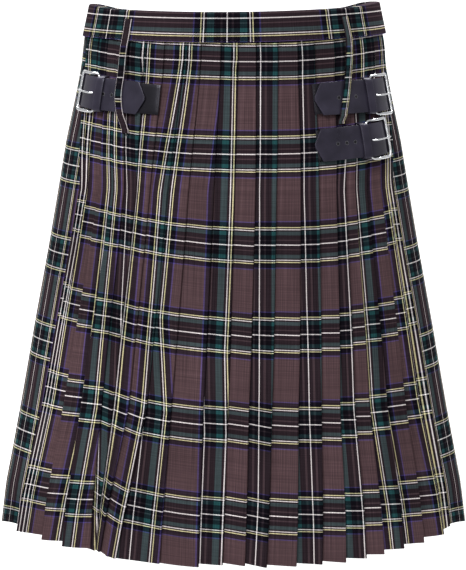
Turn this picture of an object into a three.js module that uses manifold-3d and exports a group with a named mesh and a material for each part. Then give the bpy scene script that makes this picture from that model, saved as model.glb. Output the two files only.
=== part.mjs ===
// A tartan kilt closed round an empty waist, in the hollow form that it has when worn.
// Millimetres, Z up. The front faces +Y, so the pleated back faces -Y.
// The origin is the middle of the waist. Turns are degrees from the middle of the back,
// growing towards +X; the front is at 180 and at -180.
import * as THREE from 'three';
import Module from 'manifold-3d';

const wasm = await Module();
wasm.setup();
const { Manifold, Mesh } = wasm;

// Cloth and leather
const cloth = 1.0;
const seamGap = 0.4;
const ringGap = 0.3;
const bandLeaf = 1.2;
const loopCloth = 1.5;
const strapLeather = 1.8;
const chapeLeather = 1.3;
const keeperLeather = 1.3;

// The figure: half width at the sides, half depths at the back and the front,
// all to the outer face of the flat aprons
const figure = [
  { z: 10, half: 146.5, back: 115.5, front: 115 },
  { z: -6, half: 150, back: 116.2, front: 116 },
  { z: -30, half: 155.5, back: 118, front: 118 },
  { z: -60, half: 159, back: 122.5, front: 122 },
  { z: -91, half: 165.5, back: 128.5, front: 128 },
  { z: -133, half: 175.2, back: 134.4, front: 134 },
  { z: -175, half: 182.6, back: 139.4, front: 139 },
  { z: -239, half: 194, back: 145.3, front: 144 },
  { z: -325, half: 210.5, back: 153.6, front: 151 },
  { z: -411, half: 226, back: 162, front: 158 },
  { z: -499, half: 243, back: 167.8, front: 164 },
  { z: -545, half: 248.6, back: 171.8, front: 167 },
];

// Heights at which the cloth is shaped, from inside the waistband to the hem
const pleatTop = -5;
const hem = -543.4;
const clothLevels = [pleatTop, -30, -60, -115, -172, -265, -390, -466, hem];
const apronLevels = [pleatTop, -30, -60, -115, -172, -265, -390, hem];

// The waist stands higher at the sides than at the back, and lowest in front
const sideLift = 4;
const frontDip = 10.5;
const rightLift = 1.2;
const liftFades = -172;

// Waistband
const bandTop = 3.4;
const bandSideRise = 2.6;
const bandRiseFrom = 0.8;
const bandFoot = -26;
const bandSlotTop = 0.9;
const bandBevel = 1.1;
const bandStep = 5.5;
const bandGap = 0.7;

// Depth of the folded pleats inside the waistband, and the turns over which the band
// swells from the aprons to the pleats
const pleatPack = 7.4;
const bandEaseFar = 16;
const bandEaseNear = 3;

// Overlap in front: the over apron comes from the wearer's left and ends at overEdge,
// the under apron comes from the wearer's right and ends at underEdge
const overEdge = 118;
const underEdge = 235;
const underInset = 4.8;
const underStarts = 95;
const underSettles = 111;
const apronStep = 6;
const apronTuck = 1.2;
const apronTuckLength = 6;
const apronUnderlap = 1.0;

// Pleats: how far one layer lies behind the next, and how far a fold runs back
// under the pleat before it, at the waist, the hip and the hem
const layerStep = [
  { z: 0, step: 1.6, lap: 13 },
  { z: -172, step: 1.6, lap: 13 },
  { z: -390, step: 1.8, lap: 15 },
  { z: hem, step: 2.1, lap: 16 },
];
const lapShare = 0.6;
const boxLapShare = 0.38;
const leastLayers = 2.75;
const proudClear = 0.1;

// Edges of the pleats as turns in degrees, at the waist, the hip, the knee and the hem
const edgeLevels = { waist: -45, hip: -172, knee: -390, hem };
const pleatEdges = [
  { waist: -71.0, hip: -57.4, knee: -60.1, hem: -63.7 },
  { waist: -64.8, hip: -55.2, knee: -58.5, hem: -61.9 },
  { waist: -58.9, hip: -52.5, knee: -56.7, hem: -60.0 },
  { waist: -52.7, hip: -46.9, knee: -49.7, hem: -51.1 },
  { waist: -47.4, hip: -41.1, knee: -43.1, hem: -43.8 },
  { waist: -42.6, hip: -37.0, knee: -36.9, hem: -36.3 },
  { waist: -34.9, hip: -32.1, knee: -33.2, hem: -34.8 },
  { waist: -26.3, hip: -27.3, knee: -28.3, hem: -33.1 },
  { waist: -18.4, hip: -21.2, knee: -23.1, hem: -28.4 },
  { waist: -12.2, hip: -14.4, knee: -16.4, hem: -17.5 },
  { waist: -5.0, hip: -6.4, knee: -8.0, hem: -8.3 },
  { waist: 1.2, hip: -0.0, knee: -1.7, hem: -2.8 },
  { waist: 7.7, hip: 6.4, knee: 3.6, hem: 2.3 },
  { waist: 15.7, hip: 13.0, knee: 9.5, hem: 7.3 },
  { waist: 23.3, hip: 20.9, knee: 16.5, hem: 14.3 },
  { waist: 30.2, hip: 27.1, knee: 22.8, hem: 20.6 },
  { waist: 39.0, hip: 33.5, knee: 28.1, hem: 26.5 },
  { waist: 43.9, hip: 37.1, knee: 32.6, hem: 32.0 },
  { waist: 48.4, hip: 41.1, knee: 37.3, hem: 37.3 },
  { waist: 56.0, hip: 46.3, knee: 43.7, hem: 43.8 },
  { waist: 63.9, hip: 53.5, knee: 50.9, hem: 51.2 },
  { waist: 70.4, hip: 57.8, knee: 57.1, hem: 59.3 },
  { waist: 76.7, hip: 61.5, knee: 63.7, hem: 63.2 },
];

// How much higher than level the hem of each pleat hangs, at its left and right edge
const hemLift = [
  { left: 9.1, right: 9.4 },
  { left: 9.4, right: 10.1 },
  { left: 10.1, right: 13.0 },
  { left: 9.0, right: 11.1 },
  { left: 6.5, right: 7.8 },
  { left: 5.4, right: 5.9 },
  { left: 5.9, right: 5.9 },
  { left: 5.4, right: 2.0 },
  { left: 1.5, right: 0.1 },
  { left: 0.0, right: -1.7 },
  { left: 0.9, right: 0.5 },
  { left: 2.1, right: -0.0 },
  { left: 2.1, right: -2.0 },
  { left: 0.0, right: -2.5 },
  { left: -0.0, right: -2.2 },
  { left: 0.6, right: -1.7 },
  { left: 2.2, right: 0.4 },
  { left: 3.5, right: 1.8 },
  { left: 5.5, right: 4.0 },
  { left: 7.4, right: 5.4 },
  { left: 10.2, right: 9.1 },
  { left: 12.3, right: 15.0 },
];
const hemLiftStarts = -390;

// The hems of the aprons hang this much higher beside the pleats, and level out between
// the two turns
const apronHemLift = { most: 15, from: 63, to: 95 };

// Pleats before boxPleat have their fold on the left, those after it on the right,
// and the box pleat has a fold on both sides
const boxPleat = 4;

// Straps, one row for each buckle. side is -1 for the wearer's left and +1 for the right.
// hinge, tip and chapeEnd are turns; middle is the height at the hinge, slope the rise in
// millimetres for each degree towards the front
const strapRows = [
  { name: 'left', side: -1, hinge: 54.5, tip: 31.5, chapeEnd: 26.0, middle: -79.8,
    slope: 0.12 },
  { name: 'right_upper', side: 1, hinge: 55.5, tip: 28.4, chapeEnd: 28.2, middle: -83.4,
    slope: 0 },
  { name: 'right_lower', side: 1, hinge: 49.3, tip: 26.8, chapeEnd: 27.8, middle: -125.9,
    slope: 0.12 },
];
const strapHalf = 15.8;
const strapTipLength = 7;
const strapTipHalf = 1.6;
const chapeHalf = 14.6;
const strapStep = 12;

// Slots for the prong, in the strap and in the chape: place, length and depth
const strapSlot = { s: 2.6, length: 8, depth: 5 };
const chapeSlot = { s: 1.4, length: 5.6, depth: 3.2 };
const chapeTurnBack = 2.6;
const chapeSettle = 0.2;

// Buckle frame: wire radius, distance from the hinge bar to the outer bar, half height,
// corner radius and how far its sides bow away from the figure
const wire = 1.3;
const frameLength = 30;
const frameHalf = 18.6;
const frameCorner = 4;
const frameBow = 2.2;
const wireSides = 8;
const prongHalf = 0.75;
const prongSlotHalf = 1.6;

// Keeper: distances behind the hinge bar, corner size, room beside and over the strap
const keeperNear = 4;
const keeperFar = 11.5;
const keeperCorner = 1.6;
const keeperBeside = 0.6;
const keeperOver = 1.3;
const keeperCrown = 0.4;

// Belt loops over the straps: turn, height and how far off the figure, top to bottom
const loopHalf = 4.6;
const loopRows = {
  left: [
    { turn: -42.5, z: -5, out: 5.6 },
    { turn: -42.6, z: -24, out: 5.6 },
    { turn: -42.9, z: -40, out: 6.4 },
    { turn: -42.4, z: -58, out: 8.4 },
    { turn: -42.6, z: -80, out: 8.4 },
    { turn: -40.8, z: -98, out: 7.9 },
    { turn: -38.4, z: -112, out: 4.2 },
    { turn: -38.0, z: -117, out: 4.2 },
  ],
  right: [
    { turn: 45.7, z: -5, out: 5.6 },
    { turn: 46.4, z: -24, out: 5.6 },
    { turn: 45.5, z: -42, out: 6.6 },
    { turn: 43.4, z: -62, out: 8.4 },
    { turn: 40.8, z: -84, out: 8.4 },
    { turn: 38.9, z: -101, out: 7.2 },
    { turn: 38.4, z: -106, out: 4.2 },
    { turn: 38.3, z: -108.5, out: 4.2 },
  ],
};

const finishes = {
  tartan: { color: 0x4b3a3d, roughness: 0.9, metalness: 0 },
  leather: { color: 0x17181c, roughness: 0.5, metalness: 0 },
  steel: { color: 0xc9ccd0, roughness: 0.25, metalness: 1 },
};

// A mitre in an offset path is never longer than one part in this share
const leastSpread = 0.6;

const radians = Math.PI / 180;

// Reads a table of rows keyed by height, the highest row first
function readRows(rows, z) {
  if (z >= rows[0].z) return rows[0];
  const last = rows.length - 1;
  for (let i = 0; i < last; i += 1) {
    const upper = rows[i];
    const lower = rows[i + 1];
    if (z >= lower.z) {
      const share = (upper.z - z) / (upper.z - lower.z);
      const row = {};
      for (const key of Object.keys(upper)) {
        row[key] = upper[key] + (lower[key] - upper[key]) * share;
      }
      return row;
    }
  }
  return rows[last];
}

function smooth(low, high, value) {
  const share = Math.min(1, Math.max(0, (value - low) / (high - low)));
  return share * share * (3 - 2 * share);
}

// How far the pleats stand off the aprons
function proudAt(z) {
  return 2 * readRows(layerStep, z).step + proudClear;
}

// Millimetres of cloth for each degree of turn
function reachAt(turn, z) {
  const row = readRows(figure, z);
  const depth = Math.cos(turn * radians) > 0 ? row.back : row.front;
  const along = row.half * Math.cos(turn * radians);
  const across = depth * Math.sin(turn * radians);
  return Math.hypot(along, across) * radians;
}

function waistLift(turn, z) {
  const side = Math.sin(turn * radians);
  const ahead = Math.cos(turn * radians);
  const fade = smooth(liftFades, bandFoot, z);
  const dip = ahead < 0 ? (sideLift + frontDip) * ahead * ahead : sideLift * ahead * ahead;
  return fade * (sideLift - dip + rightLift * side);
}

// A point at a turn and height, out millimetres off the outer face of the aprons
function onFigure(turn, z, out) {
  const row = readRows(figure, z);
  const sine = Math.sin(turn * radians);
  const cosine = Math.cos(turn * radians);
  const depth = cosine > 0 ? row.back : row.front;
  const normal = new THREE.Vector2(depth * sine, -row.half * cosine).normalize();
  return new THREE.Vector3(
    row.half * sine + normal.x * out,
    -depth * cosine + normal.y * out,
    z + waistLift(turn, z),
  );
}

// A closed solid from vertices and triangles, turned so that it faces out
function closedGeometry(vertices, triangles) {
  const position = [];
  for (const vertex of vertices) position.push(vertex.x, vertex.y, vertex.z);
  let volume = 0;
  for (let i = 0; i < triangles.length; i += 3) {
    const [a, b, c] = [triangles[i], triangles[i + 1], triangles[i + 2]];
    const cross = new THREE.Vector3().crossVectors(vertices[b], vertices[c]);
    volume += vertices[a].dot(cross);
  }
  const index = [...triangles];
  if (volume < 0) {
    for (let i = 0; i < index.length; i += 3) {
      [index[i + 1], index[i + 2]] = [index[i + 2], index[i + 1]];
    }
  }
  const geometry = new THREE.BufferGeometry();
  geometry.setAttribute('position', new THREE.Float32BufferAttribute(position, 3));
  geometry.setIndex(index);
  return geometry;
}

// A wall from rows of columns, each cell holding a point of the near and the far face
function wallGeometry(grid) {
  const rows = grid.length;
  const columns = grid[0].length;
  const vertices = [];
  const triangles = [];
  for (const row of grid) {
    for (const cell of row) vertices.push(cell[0], cell[1]);
  }
  const at = (j, i, face) => 2 * (j * columns + i) + face;
  const quad = (a, b, c, d) => triangles.push(a, b, c, a, c, d);
  for (let j = 0; j < rows - 1; j += 1) {
    for (let i = 0; i < columns - 1; i += 1) {
      quad(at(j, i, 0), at(j, i + 1, 0), at(j + 1, i + 1, 0), at(j + 1, i, 0));
      quad(at(j, i, 1), at(j + 1, i, 1), at(j + 1, i + 1, 1), at(j, i + 1, 1));
    }
    quad(at(j, 0, 0), at(j + 1, 0, 0), at(j + 1, 0, 1), at(j, 0, 1));
    const end = columns - 1;
    quad(at(j, end, 0), at(j, end, 1), at(j + 1, end, 1), at(j + 1, end, 0));
  }
  const foot = rows - 1;
  for (let i = 0; i < columns - 1; i += 1) {
    quad(at(0, i, 0), at(0, i, 1), at(0, i + 1, 1), at(0, i + 1, 0));
    quad(at(foot, i, 0), at(foot, i + 1, 0), at(foot, i + 1, 1), at(foot, i, 1));
  }
  return closedGeometry(vertices, triangles);
}

// A solid lofted through loops of points; outline is the loop as flat points for the ends
function loftGeometry(loops, outline) {
  const count = loops[0].length;
  const vertices = loops.flat();
  const triangles = [];
  for (let j = 0; j < loops.length - 1; j += 1) {
    for (let i = 0; i < count; i += 1) {
      const next = (i + 1) % count;
      const [a, b] = [j * count + i, j * count + next];
      triangles.push(a, b, b + count, a, b + count, a + count);
    }
  }
  const faces = THREE.ShapeUtils.triangulateShape(outline, []);
  const last = (loops.length - 1) * count;
  const turned = THREE.ShapeUtils.area(outline) > 0;
  for (const [a, b, c] of faces) {
    if (turned) {
      triangles.push(a, c, b, last + a, last + b, last + c);
    } else {
      triangles.push(a, b, c, last + a, last + c, last + b);
    }
  }
  return closedGeometry(vertices, triangles);
}

// Offsets a flat path to both sides by half a thickness
function bothSides(path, half) {
  const sides = [];
  for (let i = 0; i < path.length; i += 1) {
    const before = path[Math.max(0, i - 1)];
    const after = path[Math.min(path.length - 1, i + 1)];
    const first = new THREE.Vector2().subVectors(path[i], before);
    const second = new THREE.Vector2().subVectors(after, path[i]);
    if (i === 0) first.copy(second);
    if (i === path.length - 1) second.copy(first);
    first.normalize();
    second.normalize();
    const normal = new THREE.Vector2(-first.y - second.y, first.x + second.x).normalize();
    const spread = Math.max(leastSpread, normal.dot(new THREE.Vector2(-first.y, first.x)));
    const reach = half / spread;
    sides.push([
      path[i].clone().addScaledVector(normal, reach),
      path[i].clone().addScaledVector(normal, -reach),
    ]);
  }
  return sides;
}

function edgeTurn(edge, z) {
  const row = pleatEdges[edge];
  const table = [
    { z: edgeLevels.waist, turn: row.waist },
    { z: edgeLevels.hip, turn: row.hip },
    { z: edgeLevels.knee, turn: row.knee },
    { z: edgeLevels.hem, turn: row.hem },
  ];
  return readRows(table, z).turn;
}

const pleatCount = pleatEdges.length - 1;

function pleatWidth(pleat, z) {
  return edgeTurn(pleat + 1, z) - edgeTurn(pleat, z);
}

// The pleat whose face covers the fold at an edge
function hostOf(edge) {
  return edge <= boxPleat ? edge : edge - 1;
}

function behindOf(edge) {
  return edge <= boxPleat ? edge - 1 : edge;
}

// How far, in degrees, the fold at an edge runs back under its host pleat
function lapTurn(edge, z) {
  const host = hostOf(edge);
  const behind = behindOf(edge);
  const row = readRows(layerStep, z);
  const hostWidth = pleatWidth(host, z);
  const most = hostWidth * (host === boxPleat ? boxLapShare : lapShare);
  let lap = Math.min(row.lap / reachAt(edgeTurn(edge, z), z), most);
  if (behind >= 0 && behind < pleatCount && host !== boxPleat) {
    const closing = 1 / hostWidth - 1 / pleatWidth(behind, z);
    const spare = 1 - leastLayers / (2 * row.step);
    if (closing > 0) lap = Math.min(lap, spare / closing);
  }
  return lap;
}

// Depth of a pleat's face behind the fold line, at a turn
function faceDepth(pleat, turn, z) {
  const step = 2 * readRows(layerStep, z).step;
  if (pleat === boxPleat) return 0;
  if (pleat < 0) return step * (1 + (turn - edgeTurn(0, z)) / pleatWidth(0, z));
  if (pleat >= pleatCount) {
    return step * (1 + (edgeTurn(pleatCount, z) - turn) / pleatWidth(pleatCount - 1, z));
  }
  const width = pleatWidth(pleat, z);
  if (pleat < boxPleat) return step * (turn - edgeTurn(pleat, z)) / width;
  return step * (edgeTurn(pleat + 1, z) - turn) / width;
}

// Share of a hem's lift that the cloth has at a height
function hemFade(z) {
  return Math.min(1, Math.max(0, (hemLiftStarts - z) / (hemLiftStarts - hem)));
}

function hemLiftAt(pleat, turn, z) {
  const row = hemLift[Math.min(pleatCount - 1, Math.max(0, pleat))];
  const low = edgeTurn(pleat, z);
  const high = edgeTurn(pleat + 1, z);
  const share = Math.min(1, Math.max(0, (turn - low) / (high - low)));
  return hemFade(z) * (row.left + (row.right - row.left) * share);
}

const faceShares = [0, 0.25, 0.5, 0.75, 1];
const lapShares = [0, 0.5, 1];

// The folded line of the pleats at one height, as turn, depth and lift, left to right
function pleatLine(z) {
  const line = [];
  const step = readRows(layerStep, z).step;
  const half = step / 2;
  const place = (turn, depth, lift) => line.push({ turn, depth, lift });
  const tipTurn = (turn) => half / reachAt(turn, z);
  // The layer that runs back under the fold at an edge, and the point of the fold
  const foldBack = (edge) => {
    const turn = edgeTurn(edge, z);
    const leftFold = edge <= boxPleat;
    const sign = leftFold ? 1 : -1;
    const lap = lapTurn(edge, z);
    const host = hostOf(edge);
    const behind = behindOf(edge);
    const neighbour = Math.min(pleatCount - 1, Math.max(0, behind));
    const points = lapShares.map((share) => {
      const here = turn + sign * lap * share;
      const lift = (hemLiftAt(host, here, z) + hemLiftAt(neighbour, here, z)) / 2;
      const depth = (faceDepth(host, here, z) + faceDepth(behind, here, z)) / 2;
      return { turn: here, depth, lift };
    });
    const tip = {
      turn: turn - sign * tipTurn(turn),
      depth: points[0].depth / 2,
      lift: hemLiftAt(host, turn, z),
    };
    const far = points[points.length - 1];
    const farDepth = (far.depth + faceDepth(behind, far.turn, z)) / 2;
    const inner = { turn: far.turn + sign * tipTurn(turn), depth: farDepth, lift: far.lift };
    return { points, tip, inner };
  };
  const openFold = foldBack(0);
  for (const point of [...openFold.points].reverse()) line.push(point);
  line.push(openFold.tip);
  for (let pleat = 0; pleat < pleatCount; pleat += 1) {
    let from = edgeTurn(pleat, z);
    let to = edgeTurn(pleat + 1, z);
    if (pleat < boxPleat) to += lapTurn(pleat + 1, z);
    if (pleat > boxPleat) from -= lapTurn(pleat, z);
    for (const share of faceShares) {
      const turn = from + (to - from) * share;
      place(turn, faceDepth(pleat, turn, z), hemLiftAt(pleat, turn, z));
    }
    const fold = foldBack(pleat + 1);
    if (pleat + 1 <= boxPleat) {
      line.push(fold.inner);
      for (const point of [...fold.points].reverse()) line.push(point);
      line.push(fold.tip);
    } else {
      line.push(fold.tip);
      for (const point of fold.points) line.push(point);
      if (pleat + 1 < pleatCount) line.push(fold.inner);
    }
  }
  return line;
}

// A folded line at one height as pairs of points on the two faces of the cloth
function wallRow(line, z, out) {
  const flat = line.map((point) => {
    const place = onFigure(point.turn, z, out - point.depth - cloth / 2);
    return new THREE.Vector2(place.x, place.y);
  });
  return bothSides(flat, cloth / 2).map((pair, i) => {
    const height = z + waistLift(line[i].turn, z) + line[i].lift;
    return pair.map((point) => new THREE.Vector3(point.x, point.y, height));
  });
}

function pleatedBack() {
  return wallGeometry(clothLevels.map((z) => wallRow(pleatLine(z), z, proudAt(z))));
}

// How far a flat apron lies behind the figure's surface at a turn
function apronDepth(turn, z, sewnTurn) {
  const away = Math.abs(turn - sewnTurn) * reachAt(sewnTurn, z);
  const tuck = apronTuck * (1 - smooth(0, apronTuckLength, away));
  return tuck + underInset * smooth(underStarts, underSettles, turn);
}

function apronLiftAt(turn, z) {
  const { most, from, to } = apronHemLift;
  return hemFade(z) * most * (1 - smooth(from, to, Math.abs(turn)));
}

function apron(sewnTurnAt, farTurn) {
  const middleLevel = sewnTurnAt(edgeLevels.hip);
  const steps = Math.ceil(Math.abs(farTurn - middleLevel) / apronStep);
  const grid = apronLevels.map((z) => {
    const sewn = sewnTurnAt(z);
    const near = sewn + Math.sign(farTurn - sewn) * apronTuckLength / reachAt(sewn, z);
    const place = (turn) => ({
      turn,
      depth: apronDepth(turn, z, sewn),
      lift: apronLiftAt(turn, z),
    });
    const line = [place(sewn)];
    for (let i = 0; i <= steps; i += 1) line.push(place(near + (farTurn - near) * i / steps));
    return wallRow(line, z, 0);
  });
  return wallGeometry(grid);
}

function underApron() {
  const sewnTurnAt = (z) => {
    const turn = edgeTurn(pleatCount, z);
    return turn - apronUnderlap / reachAt(turn, z);
  };
  return apron(sewnTurnAt, underEdge);
}

function overApron() {
  const sewnTurnAt = (z) => {
    const turn = edgeTurn(0, z);
    return turn + apronUnderlap / reachAt(turn, z);
  };
  return apron(sewnTurnAt, overEdge - 360);
}

// Outer and inner faces of the waistband at a turn; it lies wider over the pleats
function bandFaces(turn) {
  const first = edgeTurn(0, 0);
  const last = edgeTurn(pleatCount, 0);
  const pleated = smooth(first - bandEaseFar, first - bandEaseNear, turn)
    * (1 - smooth(last + bandEaseNear, last + bandEaseFar, turn));
  const inset = underInset * smooth(underStarts, underSettles, turn);
  const leaf = bandGap + bandLeaf;
  const proud = proudAt(0);
  const outer = leaf + pleated * proud - inset;
  const inner = -cloth - leaf - pleated * (pleatPack - proud - cloth) - inset;
  return { outer, inner };
}

// Section of the folded waistband at a turn; its top edge rises towards the sides
function bandOutline(turn) {
  const { outer, inner } = bandFaces(turn);
  const across = Math.abs(Math.sin(turn * radians));
  const rise = bandSideRise * smooth(bandRiseFrom, 1, across);
  const top = bandTop + rise;
  const slotTop = bandSlotTop + rise;
  return [
    new THREE.Vector2(outer, bandFoot),
    new THREE.Vector2(outer, top - bandBevel),
    new THREE.Vector2(outer - bandBevel, top),
    new THREE.Vector2(inner + bandBevel, top),
    new THREE.Vector2(inner, top - bandBevel),
    new THREE.Vector2(inner, bandFoot),
    new THREE.Vector2(inner + bandLeaf, bandFoot),
    new THREE.Vector2(inner + bandLeaf, slotTop),
    new THREE.Vector2(outer - bandLeaf, slotTop),
    new THREE.Vector2(outer - bandLeaf, bandFoot),
  ];
}

function waistband() {
  const start = overEdge - 360;
  const steps = Math.round((underEdge - start) / bandStep);
  const loops = [];
  for (let i = 0; i <= steps; i += 1) {
    const turn = start + (underEdge - start) * i / steps;
    loops.push(bandOutline(turn).map((point) => onFigure(turn, point.y, point.x)));
  }
  return loftGeometry(loops, bandOutline(start));
}

// Turn of a point s millimetres in front of a strap's hinge bar
function strapTurn(row, s) {
  return row.side * (row.hinge + s / reachAt(row.hinge, row.middle));
}

function strapMiddle(row, turn) {
  return row.middle + row.slope * (Math.abs(turn) - row.hinge);
}

// A strip of leather on the figure: path holds s and out in millimetres, halves the half
// height at each point
function leatherStrip(row, path, thickness, halves) {
  const pairs = bothSides(path.map((p) => new THREE.Vector2(p.s, p.out)), thickness / 2);
  const edge = (sign) => pairs.map((pair, i) => pair.map((point) => {
    const turn = strapTurn(row, point.x);
    const z = strapMiddle(row, turn) + sign * halves[i];
    return onFigure(turn, z, point.y + pleatFace);
  }));
  return wallGeometry([edge(-1), edge(0), edge(1)]);
}

function sOf(row, turn) {
  return (turn - row.hinge) * reachAt(row.hinge, row.middle);
}

// How far off the figure the faces of the pleats lie at the buckles
const pleatFace = proudAt(0);

// Heights of the layers over the pleats at the buckle
const chapeOut = seamGap + chapeLeather / 2;
const hingeOut = seamGap + chapeLeather + ringGap + wire;
const chapeTopOut = hingeOut + wire + ringGap + chapeLeather / 2;
const strapLowOut = seamGap + chapeLeather + seamGap + strapLeather / 2;
const strapHighOut = chapeTopOut + chapeLeather / 2 + seamGap + strapLeather / 2;
const strapUnderBarOut = seamGap + strapLeather / 2;
const barOut = strapUnderBarOut + strapLeather / 2 + seamGap + wire;

// Places along a stretch of strap no further apart than strapStep
function stretch(from, to) {
  const steps = Math.max(1, Math.ceil(Math.abs(to - from) / strapStep));
  return Array.from({ length: steps }, (unused, i) => from + (to - from) * (i + 1) / steps);
}

// Height of the strap's middle line around the buckle, by distance from the hinge bar
const strapBend = [
  { s: -17, out: strapLowOut },
  { s: -9, out: strapLowOut + 2.6 },
  { s: -3, out: strapHighOut - 0.1 },
  { s: 3, out: strapHighOut - 0.1 },
  { s: 10, out: strapHighOut - 1.2 },
  { s: 18, out: strapHighOut - 2.6 },
  { s: 24, out: strapHighOut - 4 },
  { s: frameLength - 4, out: strapUnderBarOut + 0.4 },
  { s: frameLength + 1, out: strapUnderBarOut },
  { s: frameLength + 4.4, out: strapUnderBarOut },
];

// The line of a strap: height over the pleats for each place in front of the hinge bar.
// It is sewn to the pleats right in front of the outer bar
function strapPath(row) {
  const tip = sOf(row, row.tip);
  const path = [{ s: tip, out: strapLowOut, half: strapTipHalf }];
  const lay = (s, out) => path.push({ s, out, half: strapHalf });
  lay(tip + strapTipLength, strapLowOut);
  for (const s of stretch(tip + strapTipLength, strapBend[0].s)) lay(s, strapLowOut);
  for (const bend of strapBend.slice(1)) lay(bend.s, bend.out);
  return path;
}

function strap(row) {
  const path = strapPath(row);
  return leatherStrip(row, path, strapLeather, path.map((point) => point.half));
}

// The chape: sewn flat on the pleats, folded round the hinge bar and laid back on itself
function chape(row) {
  const reach = wire + ringGap + chapeLeather / 2;
  const slanted = reach * Math.SQRT1_2;
  const start = sOf(row, row.chapeEnd);
  const flat = [start, ...stretch(start, 0)].map((s) => ({ s, out: chapeOut }));
  const path = [
    ...flat,
    { s: slanted, out: hingeOut - slanted },
    { s: reach, out: hingeOut },
    { s: slanted, out: hingeOut + slanted },
    { s: 0, out: chapeTopOut },
    { s: -chapeTurnBack, out: chapeTopOut - chapeSettle },
  ];
  return leatherStrip(row, path, chapeLeather, path.map(() => chapeHalf));
}

// The strap's height over the pleats at a place, read off its line
function strapOutAt(row, s) {
  const path = strapPath(row);
  for (let i = 0; i < path.length - 1; i += 1) {
    if (s <= path[i + 1].s) {
      const share = (s - path[i].s) / (path[i + 1].s - path[i].s);
      return path[i].out + (path[i + 1].out - path[i].out) * share;
    }
  }
  return path[path.length - 1].out;
}

// The keeper arches over the strap; its two feet stand on the pleats
function keeper(row) {
  const inside = strapHalf + keeperBeside + keeperLeather / 2;
  const corner = keeperCorner;
  const rowAt = (s) => {
    const top = strapOutAt(row, s) + strapLeather / 2 + keeperOver + keeperLeather / 2;
    const foot = seamGap;
    const path = [
      new THREE.Vector2(-inside, foot),
      new THREE.Vector2(-inside, top - corner),
      new THREE.Vector2(-inside + corner, top),
      new THREE.Vector2(0, top + keeperCrown),
      new THREE.Vector2(inside - corner, top),
      new THREE.Vector2(inside, top - corner),
      new THREE.Vector2(inside, foot),
    ];
    const turn = strapTurn(row, s);
    return bothSides(path, keeperLeather / 2).map((pair) => pair.map((point) => (
      onFigure(turn, strapMiddle(row, turn) + point.x, point.y + pleatFace)
    )));
  };
  return wallGeometry([rowAt(-keeperFar), rowAt(-keeperNear)]);
}

// A closed ring of wire through places given as s, rise and out
function buckleFrame(row) {
  const places = [];
  const half = frameHalf;
  const arc = [0, 0.5, 1];
  const corner = (s, rise, start) => {
    for (const share of arc) {
      const angle = start + share * Math.PI / 2;
      places.push([s + frameCorner * Math.cos(angle), rise + frameCorner * Math.sin(angle)]);
    }
  };
  corner(frameLength - frameCorner, half - frameCorner, 0);
  corner(frameCorner, half - frameCorner, Math.PI / 2);
  corner(frameCorner, frameCorner - half, Math.PI);
  corner(frameLength - frameCorner, frameCorner - half, 1.5 * Math.PI);
  const centre = places.map(([s, rise]) => {
    const turn = strapTurn(row, s);
    const share = s / frameLength;
    const out = hingeOut + (barOut - hingeOut) * share + frameBow * Math.sin(Math.PI * share);
    return onFigure(turn, strapMiddle(row, turn) + rise, out + pleatFace);
  });
  const count = centre.length;
  const vertices = [];
  const triangles = [];
  const turn = strapTurn(row, frameLength / 2);
  const away = onFigure(turn, row.middle, 10).sub(onFigure(turn, row.middle, 0)).normalize();
  for (let i = 0; i < count; i += 1) {
    const before = centre[(i + count - 1) % count];
    const after = centre[(i + 1) % count];
    const along = new THREE.Vector3().subVectors(after, before).normalize();
    const side = new THREE.Vector3().crossVectors(along, away).normalize();
    const up = new THREE.Vector3().crossVectors(side, along).normalize();
    for (let k = 0; k < wireSides; k += 1) {
      const angle = 2 * Math.PI * k / wireSides;
      vertices.push(centre[i].clone()
        .addScaledVector(side, wire * Math.cos(angle))
        .addScaledVector(up, wire * Math.sin(angle)));
    }
  }
  for (let i = 0; i < count; i += 1) {
    const next = (i + 1) % count;
    for (let k = 0; k < wireSides; k += 1) {
      const beside = (k + 1) % wireSides;
      const [a, b] = [i * wireSides + k, i * wireSides + beside];
      const [c, d] = [next * wireSides + beside, next * wireSides + k];
      triangles.push(a, b, c, a, c, d);
    }
  }
  return closedGeometry(vertices, triangles);
}

// The prong rises from the hinge bar through the strap's hole and rests on the outer bar
const prongPath = [
  { s: -0.4, out: hingeOut + wire + ringGap + prongHalf, half: prongHalf },
  { s: 1.2, out: strapHighOut - 0.4, half: prongHalf },
  { s: 3.4, out: strapHighOut + strapLeather / 2 + 0.7 + prongHalf, half: prongHalf },
  { s: 12, out: strapHighOut + strapLeather / 2 + 0.3 + prongHalf, half: prongHalf },
  { s: frameLength - 8, out: barOut + wire + 1.5 + prongHalf, half: prongHalf },
  { s: frameLength, out: barOut + wire + ringGap + prongHalf, half: prongHalf },
  { s: frameLength + 1.6, out: barOut + wire + 0.2 + prongHalf, half: prongHalf * 0.7 },
];

function prong(row) {
  const pairs = bothSides(prongPath.map((p) => new THREE.Vector2(p.s, p.out)), prongHalf);
  const edge = (sign) => pairs.map((pair, i) => pair.map((point) => {
    const turn = strapTurn(row, point.x);
    const z = strapMiddle(row, turn) + sign * prongPath[i].half;
    return onFigure(turn, z, point.y + pleatFace);
  }));
  return wallGeometry([edge(-1), edge(1)]);
}

function beltLoop(rows) {
  const column = (sign) => rows.map((row) => {
    const turn = row.turn + sign * loopHalf / reachAt(row.turn, row.z);
    return [onFigure(turn, row.z, row.out), onFigure(turn, row.z, row.out + loopCloth)];
  });
  return wallGeometry([column(-1), column(1)]);
}

function toManifold(geometry) {
  return new Manifold(new Mesh({
    numProp: 3,
    vertProperties: new Float32Array(geometry.attributes.position.array),
    triVerts: new Uint32Array(geometry.index.array),
  }));
}

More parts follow.
